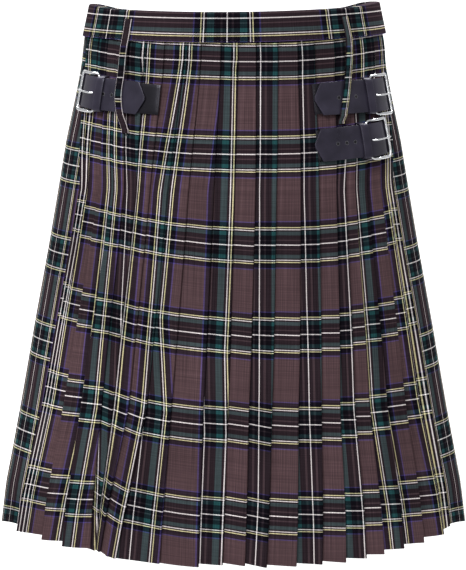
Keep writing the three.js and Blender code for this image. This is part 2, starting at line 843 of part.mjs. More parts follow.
// Cuts an upright slot through a solid: the box is centred at a place on the figure
function cutSlot(geometry, turn, z, out, length, depth, height) {
  const centre = onFigure(turn, z, out);
  const away = onFigure(turn, z, out + 1).sub(centre).normalize();
  const along = new THREE.Vector3(-away.y, away.x, 0);
  const up = new THREE.Vector3(0, 0, 1);
  const matrix = new THREE.Matrix4().makeBasis(along, away, up).setPosition(centre);
  const slot = Manifold.cube([length, depth, height], true).transform(matrix.elements);
  const cut = toManifold(geometry).subtract(slot).getMesh();
  const result = new THREE.BufferGeometry();
  const position = new THREE.Float32BufferAttribute(cut.vertProperties, 3);
  result.setAttribute('position', position);
  result.setIndex([...cut.triVerts]);
  return result;
}

function cutProngSlot(geometry, row, s, out, length, depth) {
  const turn = strapTurn(row, s);
  const height = 2 * prongSlotHalf;
  const middle = strapMiddle(row, turn);
  return cutSlot(geometry, turn, middle, out + pleatFace, length, depth, height);
}

const kilt = new THREE.Group();
kilt.name = 'tartan_kilt';

function add(name, geometry, finish) {
  const material = new THREE.MeshStandardMaterial(finish);
  material.name = name;
  const mesh = new THREE.Mesh(geometry, material);
  mesh.name = name;
  kilt.add(mesh);
}

function slottedStrap(row) {
  const { s, length, depth } = strapSlot;
  return cutProngSlot(strap(row), row, s, strapHighOut, length, depth);
}

function slottedChape(row) {
  const { s, length, depth } = chapeSlot;
  return cutProngSlot(chape(row), row, s, chapeTopOut, length, depth);
}

add('pleated_back', pleatedBack(), finishes.tartan);
add('over_apron', overApron(), finishes.tartan);
add('under_apron', underApron(), finishes.tartan);
add('waistband', waistband(), finishes.tartan);
add('belt_loop_left', beltLoop(loopRows.left), finishes.tartan);
add('belt_loop_right', beltLoop(loopRows.right), finishes.tartan);
for (const row of strapRows) {
  add(`strap_${row.name}`, slottedStrap(row), finishes.leather);
  add(`chape_${row.name}`, slottedChape(row), finishes.leather);
  add(`keeper_${row.name}`, keeper(row), finishes.leather);
  add(`buckle_${row.name}`, buckleFrame(row), finishes.steel);
  add(`prong_${row.name}`, prong(row), finishes.steel);
}

export default kilt;
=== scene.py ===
import math

import bpy
import numpy as np
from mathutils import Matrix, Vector


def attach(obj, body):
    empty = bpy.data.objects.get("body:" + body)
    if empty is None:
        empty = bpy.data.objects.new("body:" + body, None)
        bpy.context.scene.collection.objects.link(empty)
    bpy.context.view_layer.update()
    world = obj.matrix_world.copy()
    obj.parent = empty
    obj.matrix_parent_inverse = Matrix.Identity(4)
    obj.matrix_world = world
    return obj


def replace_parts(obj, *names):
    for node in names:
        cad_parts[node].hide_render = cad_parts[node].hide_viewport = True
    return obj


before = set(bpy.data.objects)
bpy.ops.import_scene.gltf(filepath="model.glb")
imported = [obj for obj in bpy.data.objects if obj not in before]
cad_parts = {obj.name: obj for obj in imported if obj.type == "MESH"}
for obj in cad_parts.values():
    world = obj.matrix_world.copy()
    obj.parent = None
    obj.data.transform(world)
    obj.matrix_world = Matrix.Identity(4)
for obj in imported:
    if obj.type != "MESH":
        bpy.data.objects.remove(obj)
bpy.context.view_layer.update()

# A tartan kilt in the hollow form it has when worn, seen from the pleated back.
# Lengths are in millimetres here and turned into metres where a mesh is made.
# Turns are degrees from the middle of the back, growing towards +X.

# Cloth and leather
CLOTH = 1.0
LOOP_CLOTH = 1.3
STRAP = 1.8
CHAPE = 1.3
KEEPER = 1.3
GAP = 0.4
RING_GAP = 0.3

# Repeat of the tartan along the weft and along the warp
WARP_REPEAT = 120.5
WEFT_REPEAT = 90.7

# height, half width, depth at the back, depth at the front
FIGURE = np.array([
    (10, 146.5, 115.5, 115),
    (-6, 150, 116.2, 116),
    (-30, 155.5, 118, 118),
    (-60, 159, 122.5, 122),
    (-91, 165.5, 128.5, 128),
    (-133, 175.2, 134.4, 134),
    (-175, 182.6, 139.4, 139),
    (-239, 194, 145.3, 144),
    (-325, 210.5, 153.6, 151),
    (-411, 226, 162, 158),
    (-499, 243, 167.8, 164),
    (-545, 248.6, 171.8, 167),
])
SIDE_LIFT = 4
FRONT_DIP = 10.5
RIGHT_LIFT = 1.2

# Heights of the top of the cloth, the hip, the knee and the hem
PLEAT_TOP = -5
HIP = -172
KNEE = -390
HEM = -543.4
EDGE_LEVELS = (-45, HIP, KNEE, HEM)
BOX_PLEAT = 4

# height, step between layers, length of the lap under the next pleat
LAYERS = np.array([(0, 1.6, 13), (HIP, 1.6, 13), (KNEE, 1.8, 15), (HEM, 2.1, 16)])
LAP_SHARE = 0.6
BOX_LAP_SHARE = 0.38
LEAST_LAYERS = 2.75
PROUD_CLEAR = 0.1

PLEAT_EDGES = [
    # waist, hip, knee, hem
    (-71, -57.4, -60.1, -63.7),
    (-64.8, -55.2, -58.5, -61.9),
    (-58.9, -52.5, -56.7, -60),
    (-52.7, -46.9, -49.7, -51.1),
    (-47.4, -41.1, -43.1, -43.8),
    (-42.6, -37, -36.9, -36.3),
    (-34.9, -32.1, -33.2, -34.8),
    (-26.3, -27.3, -28.3, -33.1),
    (-18.4, -21.2, -23.1, -28.4),
    (-12.2, -14.4, -16.4, -17.5),
    (-5, -6.4, -8, -8.3),
    (1.2, 0, -1.7, -2.8),
    (7.7, 6.4, 3.6, 2.3),
    (15.7, 13, 9.5, 7.3),
    (23.3, 20.9, 16.5, 14.3),
    (30.2, 27.1, 22.8, 20.6),
    (39, 33.5, 28.1, 26.5),
    (43.9, 37.1, 32.6, 32),
    (48.4, 41.1, 37.3, 37.3),
    (56, 46.3, 43.7, 43.8),
    (63.9, 53.5, 50.9, 51.2),
    (70.4, 57.8, 57.1, 59.3),
    (76.7, 61.5, 63.7, 63.2),
]
HEM_LIFT = [
    # at the left edge, at the right edge
    (9.1, 9.4), (9.4, 10.1), (10.1, 13), (9, 11.1), (6.5, 7.8), (5.4, 5.9), (5.9, 5.9),
    (5.4, 2), (1.5, 0.1), (0, -1.7), (0.9, 0.5), (2.1, 0), (2.1, -2), (0, -2.5), (0, -2.2),
    (0.6, -1.7), (2.2, 0.4), (3.5, 1.8), (5.5, 4), (7.4, 5.4), (10.2, 9.1), (12.3, 15),
]
# Depth of each white line of the weft below the waist, from the waist down, at the left
# and the right edge of each pleat's face, as measured in the photo
WEFT_LINES = [
    ((36.5, 37), (125.4, 126), (201.7, 202), (288.3, 288.4), (379.6, 379.7), (483.4, 483)),
    ((37, 37.9), (126, 126.9), (202, 202.5), (290.9, 291.4), (379.7, 379.9), (483, 482.7)),
    ((37.9, 39.3), (126.9, 128.6), (207.8, 209.6), (291.3, 293.2), (379.9, 381.2), (482.7, 481.9)),
    ((39.3, 40.3), (128.6, 130), (209.5, 211.8), (295.8, 297.3), (384.3, 384.5), (485.6, 483.9)),
    ((40.3, 41), (130, 131.4), (211.7, 213.2), (299.1, 299.9), (388.5, 388.5), (487.7, 485.8)),
    ((41, 42.5), (131.4, 132.7), (213.1, 214.7), (300.8, 301.6), (390.9, 392.8), (477.9, 480.3)),
    ((42.5, 43.5), (132.7, 133.4), (214.7, 216.7), (303.4, 305.7), (392.8, 395.7), (478.7, 482.3)),
    ((43.5, 43.8), (133.4, 134.5), (216.6, 218.8), (305.7, 307.7), (394.5, 398.4), (481.9, 488.2)),
    ((43.8, 44.2), (134.5, 135.1), (219.5, 221.1), (307.7, 309.8), (397.7, 400), (486.7, 490.9)),
    ((44.2, 44.7), (135.1, 135.3), (221.1, 223.4), (310.2, 312.3), (400, 402), (490.6, 493.2)),
    ((44.7, 45.2), (135.3, 135.6), (223.5, 224.4), (312.3, 314.1), (400.9, 401.7), (492, 492.8)),
    ((45.2, 45.2), (135.6, 135.6), (224.4, 225.5), (313.2, 315), (401.3, 403.4), (492.1, 494.7)),
    ((45.2, 45.2), (135.6, 135.7), (224.7, 225), (313.2, 314.2), (401.3, 405.3), (492.4, 496.3)),
    ((45.2, 44.9), (135.7, 135.5), (225, 225.6), (313.6, 314.9), (403.2, 405.1), (494.2, 496.4)),
    ((44.9, 43.9), (135.5, 134.8), (225.6, 225.5), (314.3, 315), (403.9, 404.9), (494.1, 495.4)),
    ((43.9, 42.7), (134.8, 133.9), (225.5, 224.7), (314, 314.5), (403.1, 404.2), (493.7, 494.9)),
    ((42.7, 41.6), (133.9, 133), (224.5, 223.7), (313, 312.7), (401.7, 402.3), (493.4, 494.6)),
    ((41.6, 40.7), (133, 132.2), (223.7, 222.5), (311.1, 310.4), (399.6, 400.4), (492.7, 493.8)),
    ((40.7, 39.3), (132.2, 130.9), (222.5, 220.9), (309.4, 309.3), (397.8, 397.7), (491.4, 493.2)),
    ((39.3, 38.2), (130.9, 129.2), (220.9, 219.4), (306.9, 306.1), (394.6, 394.3), (490.1, 491.6)),
    ((38.2, 37.7), (129.2, 128.4), (216.7, 214.8), (302.9, 302.1), (391, 391), (490.5, 491.7)),
    ((37.7, 37.7), (128.4, 128), (212.8, 213.1), (300.3, 298.9), (388.6, 389.3), (491.7, 493)),
]
HEM_LIFT_STARTS = KNEE

# Where each pleat's face lies on the tartan: height, then how far its left and right
# edges are from the nearest white line of the warp; None is worked out from the width
WARP_PLACES = [
    [(HIP, 19, 26), (HEM, 19, 26)],
    [(-64, -19, None), (-96, 19, 26), (HEM, 19, 26)],
    [(-64, -14, None), (-96, 27, None), (KNEE, 18, None), (HEM, 18.6, None)],
    [(-64, -50, None), (-96, -30, -12), (KNEE, -46, -24), (HEM, -40, -14.6)],
    [(-64, 34, None), (-96, 20.5, None), (KNEE, 5, None), (HEM, 9.6, None)],
    [(-45, 1.5, None), (HIP, -4.5, 9.9), (-300, None, 0), (KNEE, -19, -8), (HEM, -30, -25)],
    [(HIP, 20, None), (HEM, 20, None)],
    [(-45, -42, None), (HIP, -34.5, -15), (KNEE, -38.5, -20), (HEM, -42, -22)],
    [(-45, 15, None), (HIP, 16.5, None), (-300, 15.8, None), (KNEE, 1.5, None), (HEM, -15, None)],
    [(-45, -53, None), (HIP, -51, -25.5), (KNEE, -61, -28), (HEM, -69, -29)],
    [(-45, 6, 25), (HIP, 4, 24), (-330, 2, None), (-410, -3, None), (HEM, -2.4, None)],
    [(HIP, 40, None), (HEM, 40, None)],
    [(HIP, -5.4, None), (-280, -7.9, None), (KNEE, -11.2, None), (-480, -12.5, None),
     (HEM, -11.5, None)],
    [(HIP, 42, None), (HEM, 40, None)],
    [(-45, -6.5, None), (HIP, -5, None), (-280, -7.9, None), (KNEE, -12.5, None),
     (-480, -16.4, None), (HEM, -19.6, None)],
    [(HIP, 43, None), (HEM, 38, None)],
    [(-45, -15, None), (HIP, None, 1), (HEM, None, 1)],
    [(HIP, 42, None), (HEM, 38, None)],
    [(-68, -37.5, None), (-99, -25, -10.6), (-330, -27.5, -7), (KNEE, -28, -4), (HEM, -34.5, -8)],
    [(-68, -19, None), (-99, 23, 42), (KNEE, 21.5, 46), (HEM, 14, 43)],
    [(-68, -42, None), (-99, -33, -21), (KNEE, -40, -22), (HEM, -50, -22)],
    [(HIP, -27, -19), (HEM, -27, -19)],
]

# Depths of the white lines of the weft on the two aprons, from the waist down
OVER_WEFT = (64, 154.4, 245.5, 337.5, 436.5, 546)
UNDER_WEFT = (75.5, 165.8, 256.7, 348.5, 444.5, 546)
# How much higher the cloth of the aprons hangs beside the pleats, by height, and the
# turns between which it levels out
APRON_LIFT = np.array([(HIP, 0), (KNEE, 2.5), (-466, 5), (HEM, 15)])
APRON_LIFT_TURNS = (63, 95)
OVER_WARP_TURN = -72.0
UNDER_WARP_TURN = 73.8

# Soft troughs and ridges of the hanging cloth: turn at the hip, the knee and the hem,
# half width in degrees, then how far out the cloth comes at the knee and at the hem
CREASES = [
    (-37.5, -34.5, -35.3, 3, -1.6, -4.6),
    (-24, -26, -29, 4, 0.8, 2),
    (-47, -48.5, -49, 4.5, 0.6, 1.6),
    (-57, -57.5, -58.5, 3.5, -0.8, -1.8),
    (-10, -12, -13, 5, 0.9, 1.8),
    (10, 7, 5, 5, 0.7, 1.5),
    (24, 20, 18, 4, -0.7, -1.4),
    (36, 31, 30, 5, 0.8, 1.6),
    (50, 47, 48, 4.5, -0.7, -1.7),
    (58, 57, 58, 4, 0.7, 1.8),
    (-80, -80, -80, 7, 0.8, 1.6),
    (80, 80, 80, 7, 0.6, 1.4),
    (-100, -102, -104, 9, -1.2, -2.4),
    (100, 102, 104, 9, -1, -2.2),
    (-126, -128, -130, 11, 1, 2.2),
    (126, 128, 130, 11, 0.9, 2),
    (-150, -152, -154, 10, -1, -2.2),
    (150, 152, 154, 10, -0.9, -2),
    (176, 177, 178, 12, 0.8, 1.8),
]

# Waistband
BAND_TOP = 3.4
BAND_SIDE_RISE = 2.6
BAND_RISE_FROM = 0.8
BAND_FOOT = -26
BAND_SLOT = 0.9
BAND_LEAF = 1.2
BAND_BEVEL = 1.1
BAND_GAP = 0.7
BAND_EASE_FAR = 16
BAND_EASE_NEAR = 3
PLEAT_PACK = 7.4
BAND_WHITE = -2.6
BAND_WARP = [(-54.0, -WARP_REPEAT), (-2.3, 0), (47.4, WARP_REPEAT)]

# Aprons
OVER_EDGE = 118
UNDER_EDGE = 235
UNDER_INSET = 4.8
UNDER_STARTS = 95
UNDER_SETTLES = 111
APRON_TUCK = 1.2
APRON_TUCK_LENGTH = 6
APRON_UNDERLAP = 1.0

# Straps: hinge, tip and end of the chape as turns, height, slope, and the place of the
# first prong hole that shows and how many there are
STRAPS = [
    dict(name="left", side=-1, hinge=54.5, tip=31.5, chape_end=26.0, middle=-79.8, slope=0.12,
         hole=-20.5, holes=2),
    dict(name="right_upper", side=1, hinge=55.5, tip=28.4, chape_end=28.2, middle=-83.4,
         slope=0, hole=-42, holes=3),
    dict(name="right_lower", side=1, hinge=49.3, tip=26.8, chape_end=27.8, middle=-125.9,
         slope=0.12, hole=-36.8, holes=4),
]
HOLE_STEP = 9.6
STRAP_HALF = 15.8
STRAP_TIP_LENGTH = 7
STRAP_TIP_HALF = 1.6
CHAPE_HALF = 14.6
WIRE = 1.3
SHOWN_WIRE = 1.6
FRAME_LENGTH = 30
FRAME_HALF = 18.6
FRAME_CORNER = 4
FRAME_BOW = 2.2
KEEPER_NEAR = 4
KEEPER_FAR = 11.5
KEEPER_CORNER = 1.6
KEEPER_BESIDE = 0.6
KEEPER_OVER = 1.3
KEEPER_CROWN = 0.4
KEEPER_SWELL = 0.3
CHAPE_TONGUE = 2.6
CHAPE_FOLD_ANGLES = (20, 45, 70, 90, 110, 135, 160)

# Belt loops: turn, height, distance off the figure
LOOP_HALF = 3.8
LOOPS = {
    "left": [(-42.5, -5, 5.6), (-42.6, -24, 5.6), (-42.9, -40, 6.4), (-42.4, -58, 8.4),
             (-42.6, -80, 8.4), (-40.8, -98, 7.9), (-38.4, -112, 4.2), (-38.0, -117, 4.2)],
    "right": [(45.7, -5, 5.6), (46.4, -24, 5.6), (45.5, -42, 6.6), (43.4, -62, 8.4),
              (40.8, -84, 8.4), (38.9, -101, 7.2), (38.4, -106, 4.2), (38.3, -108.5, 4.2)],
}
LOOP_WHITE = -62
LOOP_CROWN = 0.35
# Place on the weft at a loop's edge or middle, and how far it changes to the other
FOLDED_LOOP_WEFT = (15.05, 1.6)
PLAIN_LOOP_WEFT = (13.6, 4.7)

LEATHER_SAMPLE = 2.0


def smooth(low, high, value):
    share = min(1.0, max(0.0, (value - low) / (high - low)))
    return share * share * (3 - 2 * share)


def read_rows(rows, z):
    """The row of a table at a height, between the two rows next to it."""
    return [float(np.interp(-z, -rows[:, 0], rows[:, k])) for k in range(1, rows.shape[1])]


def layer_step(z):
    return read_rows(LAYERS, z)[0]


def proud_at(z):
    return 2 * layer_step(z) + PROUD_CLEAR


def reach_at(turn, z):
    """Millimetres of cloth for each degree of turn."""
    half, back, front = read_rows(FIGURE, z)
    a = math.radians(turn)
    depth = back if math.cos(a) > 0 else front
    return math.radians(math.hypot(half * math.cos(a), depth * math.sin(a)))


def waist_lift(turn, z):
    side = math.sin(math.radians(turn))
    ahead = math.cos(math.radians(turn))
    dip = (SIDE_LIFT + FRONT_DIP if ahead < 0 else SIDE_LIFT) * ahead * ahead
    return smooth(HIP, BAND_FOOT, z) * (SIDE_LIFT - dip + RIGHT_LIFT * side)


def crease(turn, z):
    """How far the hanging cloth comes out of the figure's plain form."""
    if z >= HIP:
        return 0.0
    out = 0.0
    for hip, knee, hem, half, at_knee, at_hem in CREASES:
        if z > KNEE:
            share = (HIP - z) / (HIP - KNEE)
            centre = hip + (knee - hip) * share
            size = at_knee * share * share
        else:
            share = (KNEE - z) / (KNEE - HEM)
            centre = knee + (hem - knee) * share
            size = at_knee + (at_hem - at_knee) * share
        away = ((turn - centre + 180) % 360 - 180) / half
        if abs(away) < 3:
            out += size * math.exp(-away * away)
    return out


def on_figure(turn, z, out):
    half, back, front = read_rows(FIGURE, z)
    sine = math.sin(math.radians(turn))
    cosine = math.cos(math.radians(turn))
    depth = back if cosine > 0 else front
    nx, ny = depth * sine, -half * cosine
    size = math.hypot(nx, ny)
    out += crease(turn, z)
    return Vector((half * sine + nx / size * out, -depth * cosine + ny / size * out,
                   z + waist_lift(turn, z)))


# Meshes

def link(name, verts, faces, uvs, material):
    """A mesh of points in millimetres, with the place of each point on its cloth."""
    mesh = bpy.data.meshes.new(name)
    mesh.from_pydata([(v[0] / 1000, v[1] / 1000, v[2] / 1000) for v in verts], [], faces)
    if uvs is not None:
        layer = mesh.uv_layers.new(name="cloth")
        index = np.empty(len(mesh.loops), dtype=np.int64)
        mesh.loops.foreach_get("vertex_index", index)
        layer.data.foreach_set("uv", np.asarray(uvs, dtype=np.float32)[index].ravel())
    mesh.validate()
    obj = bpy.data.objects.new(name, mesh)
    bpy.context.scene.collection.objects.link(obj)
    mesh.materials.append(material)
    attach(obj, "root")
    return obj


def grid_faces(rows, columns):
    faces = []
    for j in range(rows - 1):
        for i in range(columns - 1):
            a = j * columns + i
            faces.append((a, a + columns, a + columns + 1, a + 1))
    return faces


def settle(obj, angle=50):
    """Turns a piece's modifiers into mesh and shades it smooth up to an angle."""
    graph = bpy.context.evaluated_depsgraph_get()
    mesh = bpy.data.meshes.new_from_object(obj.evaluated_get(graph))
    obj.modifiers.clear()
    obj.data = mesh
    mesh.shade_smooth()
    mesh.set_sharp_from_angle(angle=math.radians(angle))
    return obj


def sheet_of(name, grid, material, thickness, bevel=0.0, angle=50):
    """A wall of cloth or leather through a grid of points with their places on it."""
    rows, columns = len(grid), len(grid[0])
    verts = [cell[0] for row in grid for cell in row]
    uvs = [cell[1] for row in grid for cell in row]
    obj = link(name, verts, grid_faces(rows, columns), uvs, material)
    shell = obj.modifiers.new("wall", "SOLIDIFY")
    shell.thickness = thickness / 1000
    shell.offset = 0
    if bevel:
        edge = obj.modifiers.new("edge", "BEVEL")
        edge.width = bevel / 1000
        edge.segments = 2
        edge.limit_method = "ANGLE"
        edge.angle_limit = math.radians(60)
    return settle(obj, angle)


def cut_of(grid):
    """Flat width, length and area of a grid of points, in metres."""
    p = np.array([[tuple(cell[0]) for cell in row] for row in grid]) / 1000
    across = np.linalg.norm(np.diff(p, axis=1), axis=2)
    down = np.linalg.norm(np.diff(p, axis=0), axis=2)
    a = p[1:, 1:] - p[:-1, :-1]
    b = p[1:, :-1] - p[:-1, 1:]
    area = float(np.linalg.norm(np.cross(a, b), axis=2).sum()) / 2
    return float(across.sum(axis=1).max()), float(down.sum(axis=0).max()), area


def declare(grid, turned=0.0):
    width, length, area = cut_of(grid)
    width, area = width + turned, area + turned * length


# Pleats

PLEATS = len(PLEAT_EDGES) - 1


def edge_turn(edge, z):
    return float(np.interp(-z, [-level for level in EDGE_LEVELS], PLEAT_EDGES[edge]))


def pleat_width(pleat, z):
    return edge_turn(pleat + 1, z) - edge_turn(pleat, z)


def lap_turn(edge, z):
    host = edge if edge <= BOX_PLEAT else edge - 1
    behind = edge - 1 if edge <= BOX_PLEAT else edge
    step, lap = read_rows(LAYERS, z)
    host_width = pleat_width(host, z)
    most = host_width * (BOX_LAP_SHARE if host == BOX_PLEAT else LAP_SHARE)
    turn = min(lap / reach_at(edge_turn(edge, z), z), most)
    if 0 <= behind < PLEATS and host != BOX_PLEAT:
        closing = 1 / host_width - 1 / pleat_width(behind, z)
        spare = 1 - LEAST_LAYERS / (2 * step)
        if closing > 0:
            turn = min(turn, spare / closing)
    return turn


def face_depth(pleat, turn, z):
    step = 2 * layer_step(z)
    if pleat == BOX_PLEAT:
        return 0.0
    if pleat < 0:
        return step * (1 + (turn - edge_turn(0, z)) / pleat_width(0, z))
    if pleat >= PLEATS:
        return step * (1 + (edge_turn(PLEATS, z) - turn) / pleat_width(PLEATS - 1, z))
    width = pleat_width(pleat, z)
    if pleat < BOX_PLEAT:
        return step * (turn - edge_turn(pleat, z)) / width
    return step * (edge_turn(pleat + 1, z) - turn) / width


def hem_lift_at(pleat, turn, z):
    pleat = min(PLEATS - 1, max(0, pleat))
    left, right = HEM_LIFT[pleat]
    share = (turn - edge_turn(pleat, z)) / pleat_width(pleat, z)
    share = min(1.0, max(0.0, share))
    fade = min(1.0, max(0.0, (HEM_LIFT_STARTS - z) / (HEM_LIFT_STARTS - HEM)))
    return fade * (left + (right - left) * share)


def face_width(pleat, z):
    middle = (edge_turn(pleat, z) + edge_turn(pleat + 1, z)) / 2
    return pleat_width(pleat, z) * reach_at(middle, z)


def warp_place(pleat, z):
    """Places of a face's two edges on the warp, at a height."""
    known = []
    for height, left, right in WARP_PLACES[pleat]:
        width = face_width(pleat, height)
        known.append((height, right - width if left is None else left,
                      left + width if right is None else right))
    if z > known[0][0]:
        middle = (known[0][1] + known[0][2]) / 2
        width = face_width(pleat, z)
        return middle - width / 2, middle + width / 2
    left, right = read_rows(np.array(known), z)
    return left, right


def weft_place(lines, depth):
    """Place on the weft of a depth below the waist, from the depths of the white lines."""
    places = [-WEFT_REPEAT * k for k in range(len(lines))]
    if depth < lines[0]:
        return lines[0] - depth
    if depth > lines[-1]:
        return places[-1] + lines[-1] - depth
    return float(np.interp(depth, lines, places))


PLEAT_STEP = 9.5
FACE_SHARES = (0, 0.03, 0.08, 0.16, 0.28, 0.42, 0.56, 0.7, 0.82, 0.91, 0.97, 1)
LAP_SHARES = (0, 0.25, 0.6, 1)
FOLD_ANGLES = (-60, 0, 60)


def pleat_line(z):
    """The folded line of the pleats at a height: turn, depth, lift, place on the warp
    and pleat, left to right."""
    line = []
    half = layer_step(z) / 2

    def fold_back(edge):
        turn = edge_turn(edge, z)
        left_fold = edge <= BOX_PLEAT
        sign = 1 if left_fold else -1
        lap = lap_turn(edge, z)
        host = edge if left_fold else edge - 1
        behind = edge - 1 if left_fold else edge
        near = min(PLEATS - 1, max(0, host))
        start = warp_place(near, z)[0 if left_fold else 1]
        reach = reach_at(turn, z)
        points = []
        front = face_depth(host, turn, z)
        size = (face_depth(behind, turn, z) - front) / 4
        middle = front + size
        arc = math.pi * size
        for share in LAP_SHARES:
            here = turn + sign * lap * share
            lift = (hem_lift_at(host, here, z) + hem_lift_at(behind, here, z)) / 2
            depth = (face_depth(host, here, z) + face_depth(behind, here, z)) / 2
            points.append((here, depth, lift, start - sign * (arc + lap * share * reach), near))
        tip = []
        for angle in FOLD_ANGLES:
            a = math.radians(angle)
            tip.append((turn - sign * math.cos(a) * half / reach, middle + size * math.sin(a),
                        hem_lift_at(host, turn, z), start - sign * arc * (angle + 90) / 180,
                        near))
        far = points[-1]
        inner = (far[0] + sign * half / reach, (far[1] + face_depth(behind, far[0], z)) / 2,
                 far[2], far[3], near)
        return points, tip, inner

    points, tip, inner = fold_back(0)
    line += points[::-1] + tip[::-1]
    for pleat in range(PLEATS):
        low, high = edge_turn(pleat, z), edge_turn(pleat + 1, z)
        start = low - (lap_turn(pleat, z) if pleat > BOX_PLEAT else 0)
        end = high + (lap_turn(pleat + 1, z) if pleat < BOX_PLEAT else 0)
        left, right = warp_place(pleat, z)
        for share in FACE_SHARES:
            turn = start + (end - start) * share
            place = left + (right - left) * (turn - low) / (high - low)
            line.append((turn, face_depth(pleat, turn, z), hem_lift_at(pleat, turn, z),
                         place, pleat))
        points, tip, inner = fold_back(pleat + 1)
        if pleat + 1 <= BOX_PLEAT:
            line += [inner] + points[::-1] + tip[::-1]
        else:
            line += tip + points
            if pleat + 1 < PLEATS:
                line.append(inner)
    return line


def levels(top, foot, step):
    count = math.ceil((top - foot) / step)
    return [top + (foot - top) * k / count for k in range(count + 1)]


def pleated_grid():
    grid = []
    for z in levels(PLEAT_TOP, HEM, PLEAT_STEP):
        row = []
        out = proud_at(z) - CLOTH / 2
        for turn, depth, lift, place, pleat in pleat_line(z):
            point = on_figure(turn, z, out - depth)
            point.z += lift
            share = (turn - edge_turn(pleat, z)) / pleat_width(pleat, z)
            share = min(1.0, max(0.0, share))
            lines = [a + (b - a) * share for a, b in WEFT_LINES[pleat]]
            row.append((point, (place, weft_place(lines, -point.z))))
        grid.append(row)
    return grid


# Aprons

APRON_STEP = 12
APRON_TURN_STEP = 3
ARC_SAMPLES = 120


def arc_table(z, start, end):
    turns = np.linspace(start, end, ARC_SAMPLES)
    middles = (turns[1:] + turns[:-1]) / 2
    reach = [reach_at(t, z) * (turns[1] - turns[0]) for t in middles]
    return turns, np.concatenate([[0], np.cumsum(reach)])


def apron_lift(turn, z):
    low, high = APRON_LIFT_TURNS
    return read_rows(APRON_LIFT, z)[0] * (1 - smooth(low, high, abs(turn)))


def apron_grid(sewn_at, far, warp_turn, lines):
    steps = math.ceil(abs(far - sewn_at(HIP)) / APRON_TURN_STEP)
    sign = 1 if far > sewn_at(HIP) else -1
    grid = []
    for z in levels(PLEAT_TOP, HEM, APRON_STEP):
        sewn = sewn_at(z)
        near = sewn + sign * APRON_TUCK_LENGTH / reach_at(sewn, z)
        turns = [sewn, sewn + (near - sewn) * 0.5]
        turns += [near + (far - near) * k / steps for k in range(steps + 1)]
        low, arcs = arc_table(z, min(sewn, far) - APRON_TURN_STEP,
                              max(sewn, far) + APRON_TURN_STEP)
        white = float(np.interp(warp_turn, low, arcs))
        row = []
        for turn in turns:
            away = abs(turn - sewn) * reach_at(sewn, z)
            depth = APRON_TUCK * (1 - smooth(0, APRON_TUCK_LENGTH, away))
            depth += UNDER_INSET * smooth(UNDER_STARTS, UNDER_SETTLES, turn)
            point = on_figure(turn, z, -depth - CLOTH / 2)
            place = float(np.interp(turn, low, arcs)) - white
            row.append((point.copy(), (place, weft_place(lines, -point.z))))
            row[-1][0].z += apron_lift(turn, z)
        grid.append(row)
    return grid


def over_sewn(z):
    turn = edge_turn(0, z)
    return turn + APRON_UNDERLAP / reach_at(turn, z)


def under_sewn(z):
    turn = edge_turn(PLEATS, z)
    return turn - APRON_UNDERLAP / reach_at(turn, z)


# Waistband

def band_faces(turn):
    first, last = edge_turn(0, 0), edge_turn(PLEATS, 0)
    pleated = smooth(first - BAND_EASE_FAR, first - BAND_EASE_NEAR, turn)
    pleated *= 1 - smooth(last + BAND_EASE_NEAR, last + BAND_EASE_FAR, turn)
    inset = UNDER_INSET * smooth(UNDER_STARTS, UNDER_SETTLES, turn)
    leaf = BAND_GAP + BAND_LEAF
    proud = proud_at(0)
    outer = leaf + pleated * proud - inset
    inner = -CLOTH - leaf - pleated * (PLEAT_PACK - proud - CLOTH) - inset
    return outer, inner


def band_outline(turn):
    """Section of the band: a folded strip, open below, with a rounded top."""
    points = []
    outer, inner = band_faces(turn)
    rise = BAND_SIDE_RISE * smooth(BAND_RISE_FROM, 1, abs(math.sin(math.radians(turn))))
    foot, top = BAND_FOOT, BAND_TOP + rise
    for z in np.linspace(foot, top - BAND_BEVEL, 9):
        points.append((outer, z))
    for face, sign, angles in ((outer, -1, (30, 60, 90)), (inner, 1, (90, 60, 30))):
        for a in np.radians(angles):
            points.append((face + sign * BAND_BEVEL * (1 - math.cos(a)),
                           top - BAND_BEVEL * (1 - math.sin(a))))
    for z in np.linspace(top - BAND_BEVEL, foot, 5):
        points.append((inner, z))
    points.append((inner + BAND_LEAF, foot))
    points.append((inner + BAND_LEAF, BAND_SLOT + rise))
    points.append((outer - BAND_LEAF, BAND_SLOT + rise))
    points.append((outer - BAND_LEAF, foot))
    return points


BAND_STEPS = 236
BAND_EASE = 1.02


def waistband(material):
    turns = np.linspace(OVER_EDGE - 360, UNDER_EDGE, BAND_STEPS + 1)
    arc = [0.0]
    for a, b in zip(turns, turns[1:]):
        arc.append(arc[-1] + reach_at((a + b) / 2, 0) * (b - a) * BAND_EASE)
    known = [(float(np.interp(t, turns, arc)), u) for t, u in BAND_WARP]
    (first, low), (last, high) = known[0], known[-1]
    known = [(0, low - first)] + known + [(arc[-1], high + arc[-1] - last)]
    verts, uvs, faces = [], [], []
    for turn, along in zip(turns, arc):
        place = float(np.interp(along, *zip(*known)))
        outline = band_outline(turn)
        for out, z in outline:
            verts.append(on_figure(turn, z, out))
            uvs.append((place, z - BAND_WHITE))
    count = len(outline)
    for j in range(BAND_STEPS):
        for i in range(count):
            k = (i + 1) % count
            a, b = j * count + i, j * count + k
            faces.append((a, a + count, b + count, b))
    last = BAND_STEPS * count
    faces.append(tuple(range(count)))
    faces.append(tuple(last + i for i in reversed(range(count))))
    obj = link("waistband_cloth", verts, faces, uvs, material)
    outer, inner = band_faces(0)
    cut = (2 * (BAND_TOP - BAND_FOOT) + outer - inner) / 1000
    return settle(obj, 40), arc[-1] / 1000, cut


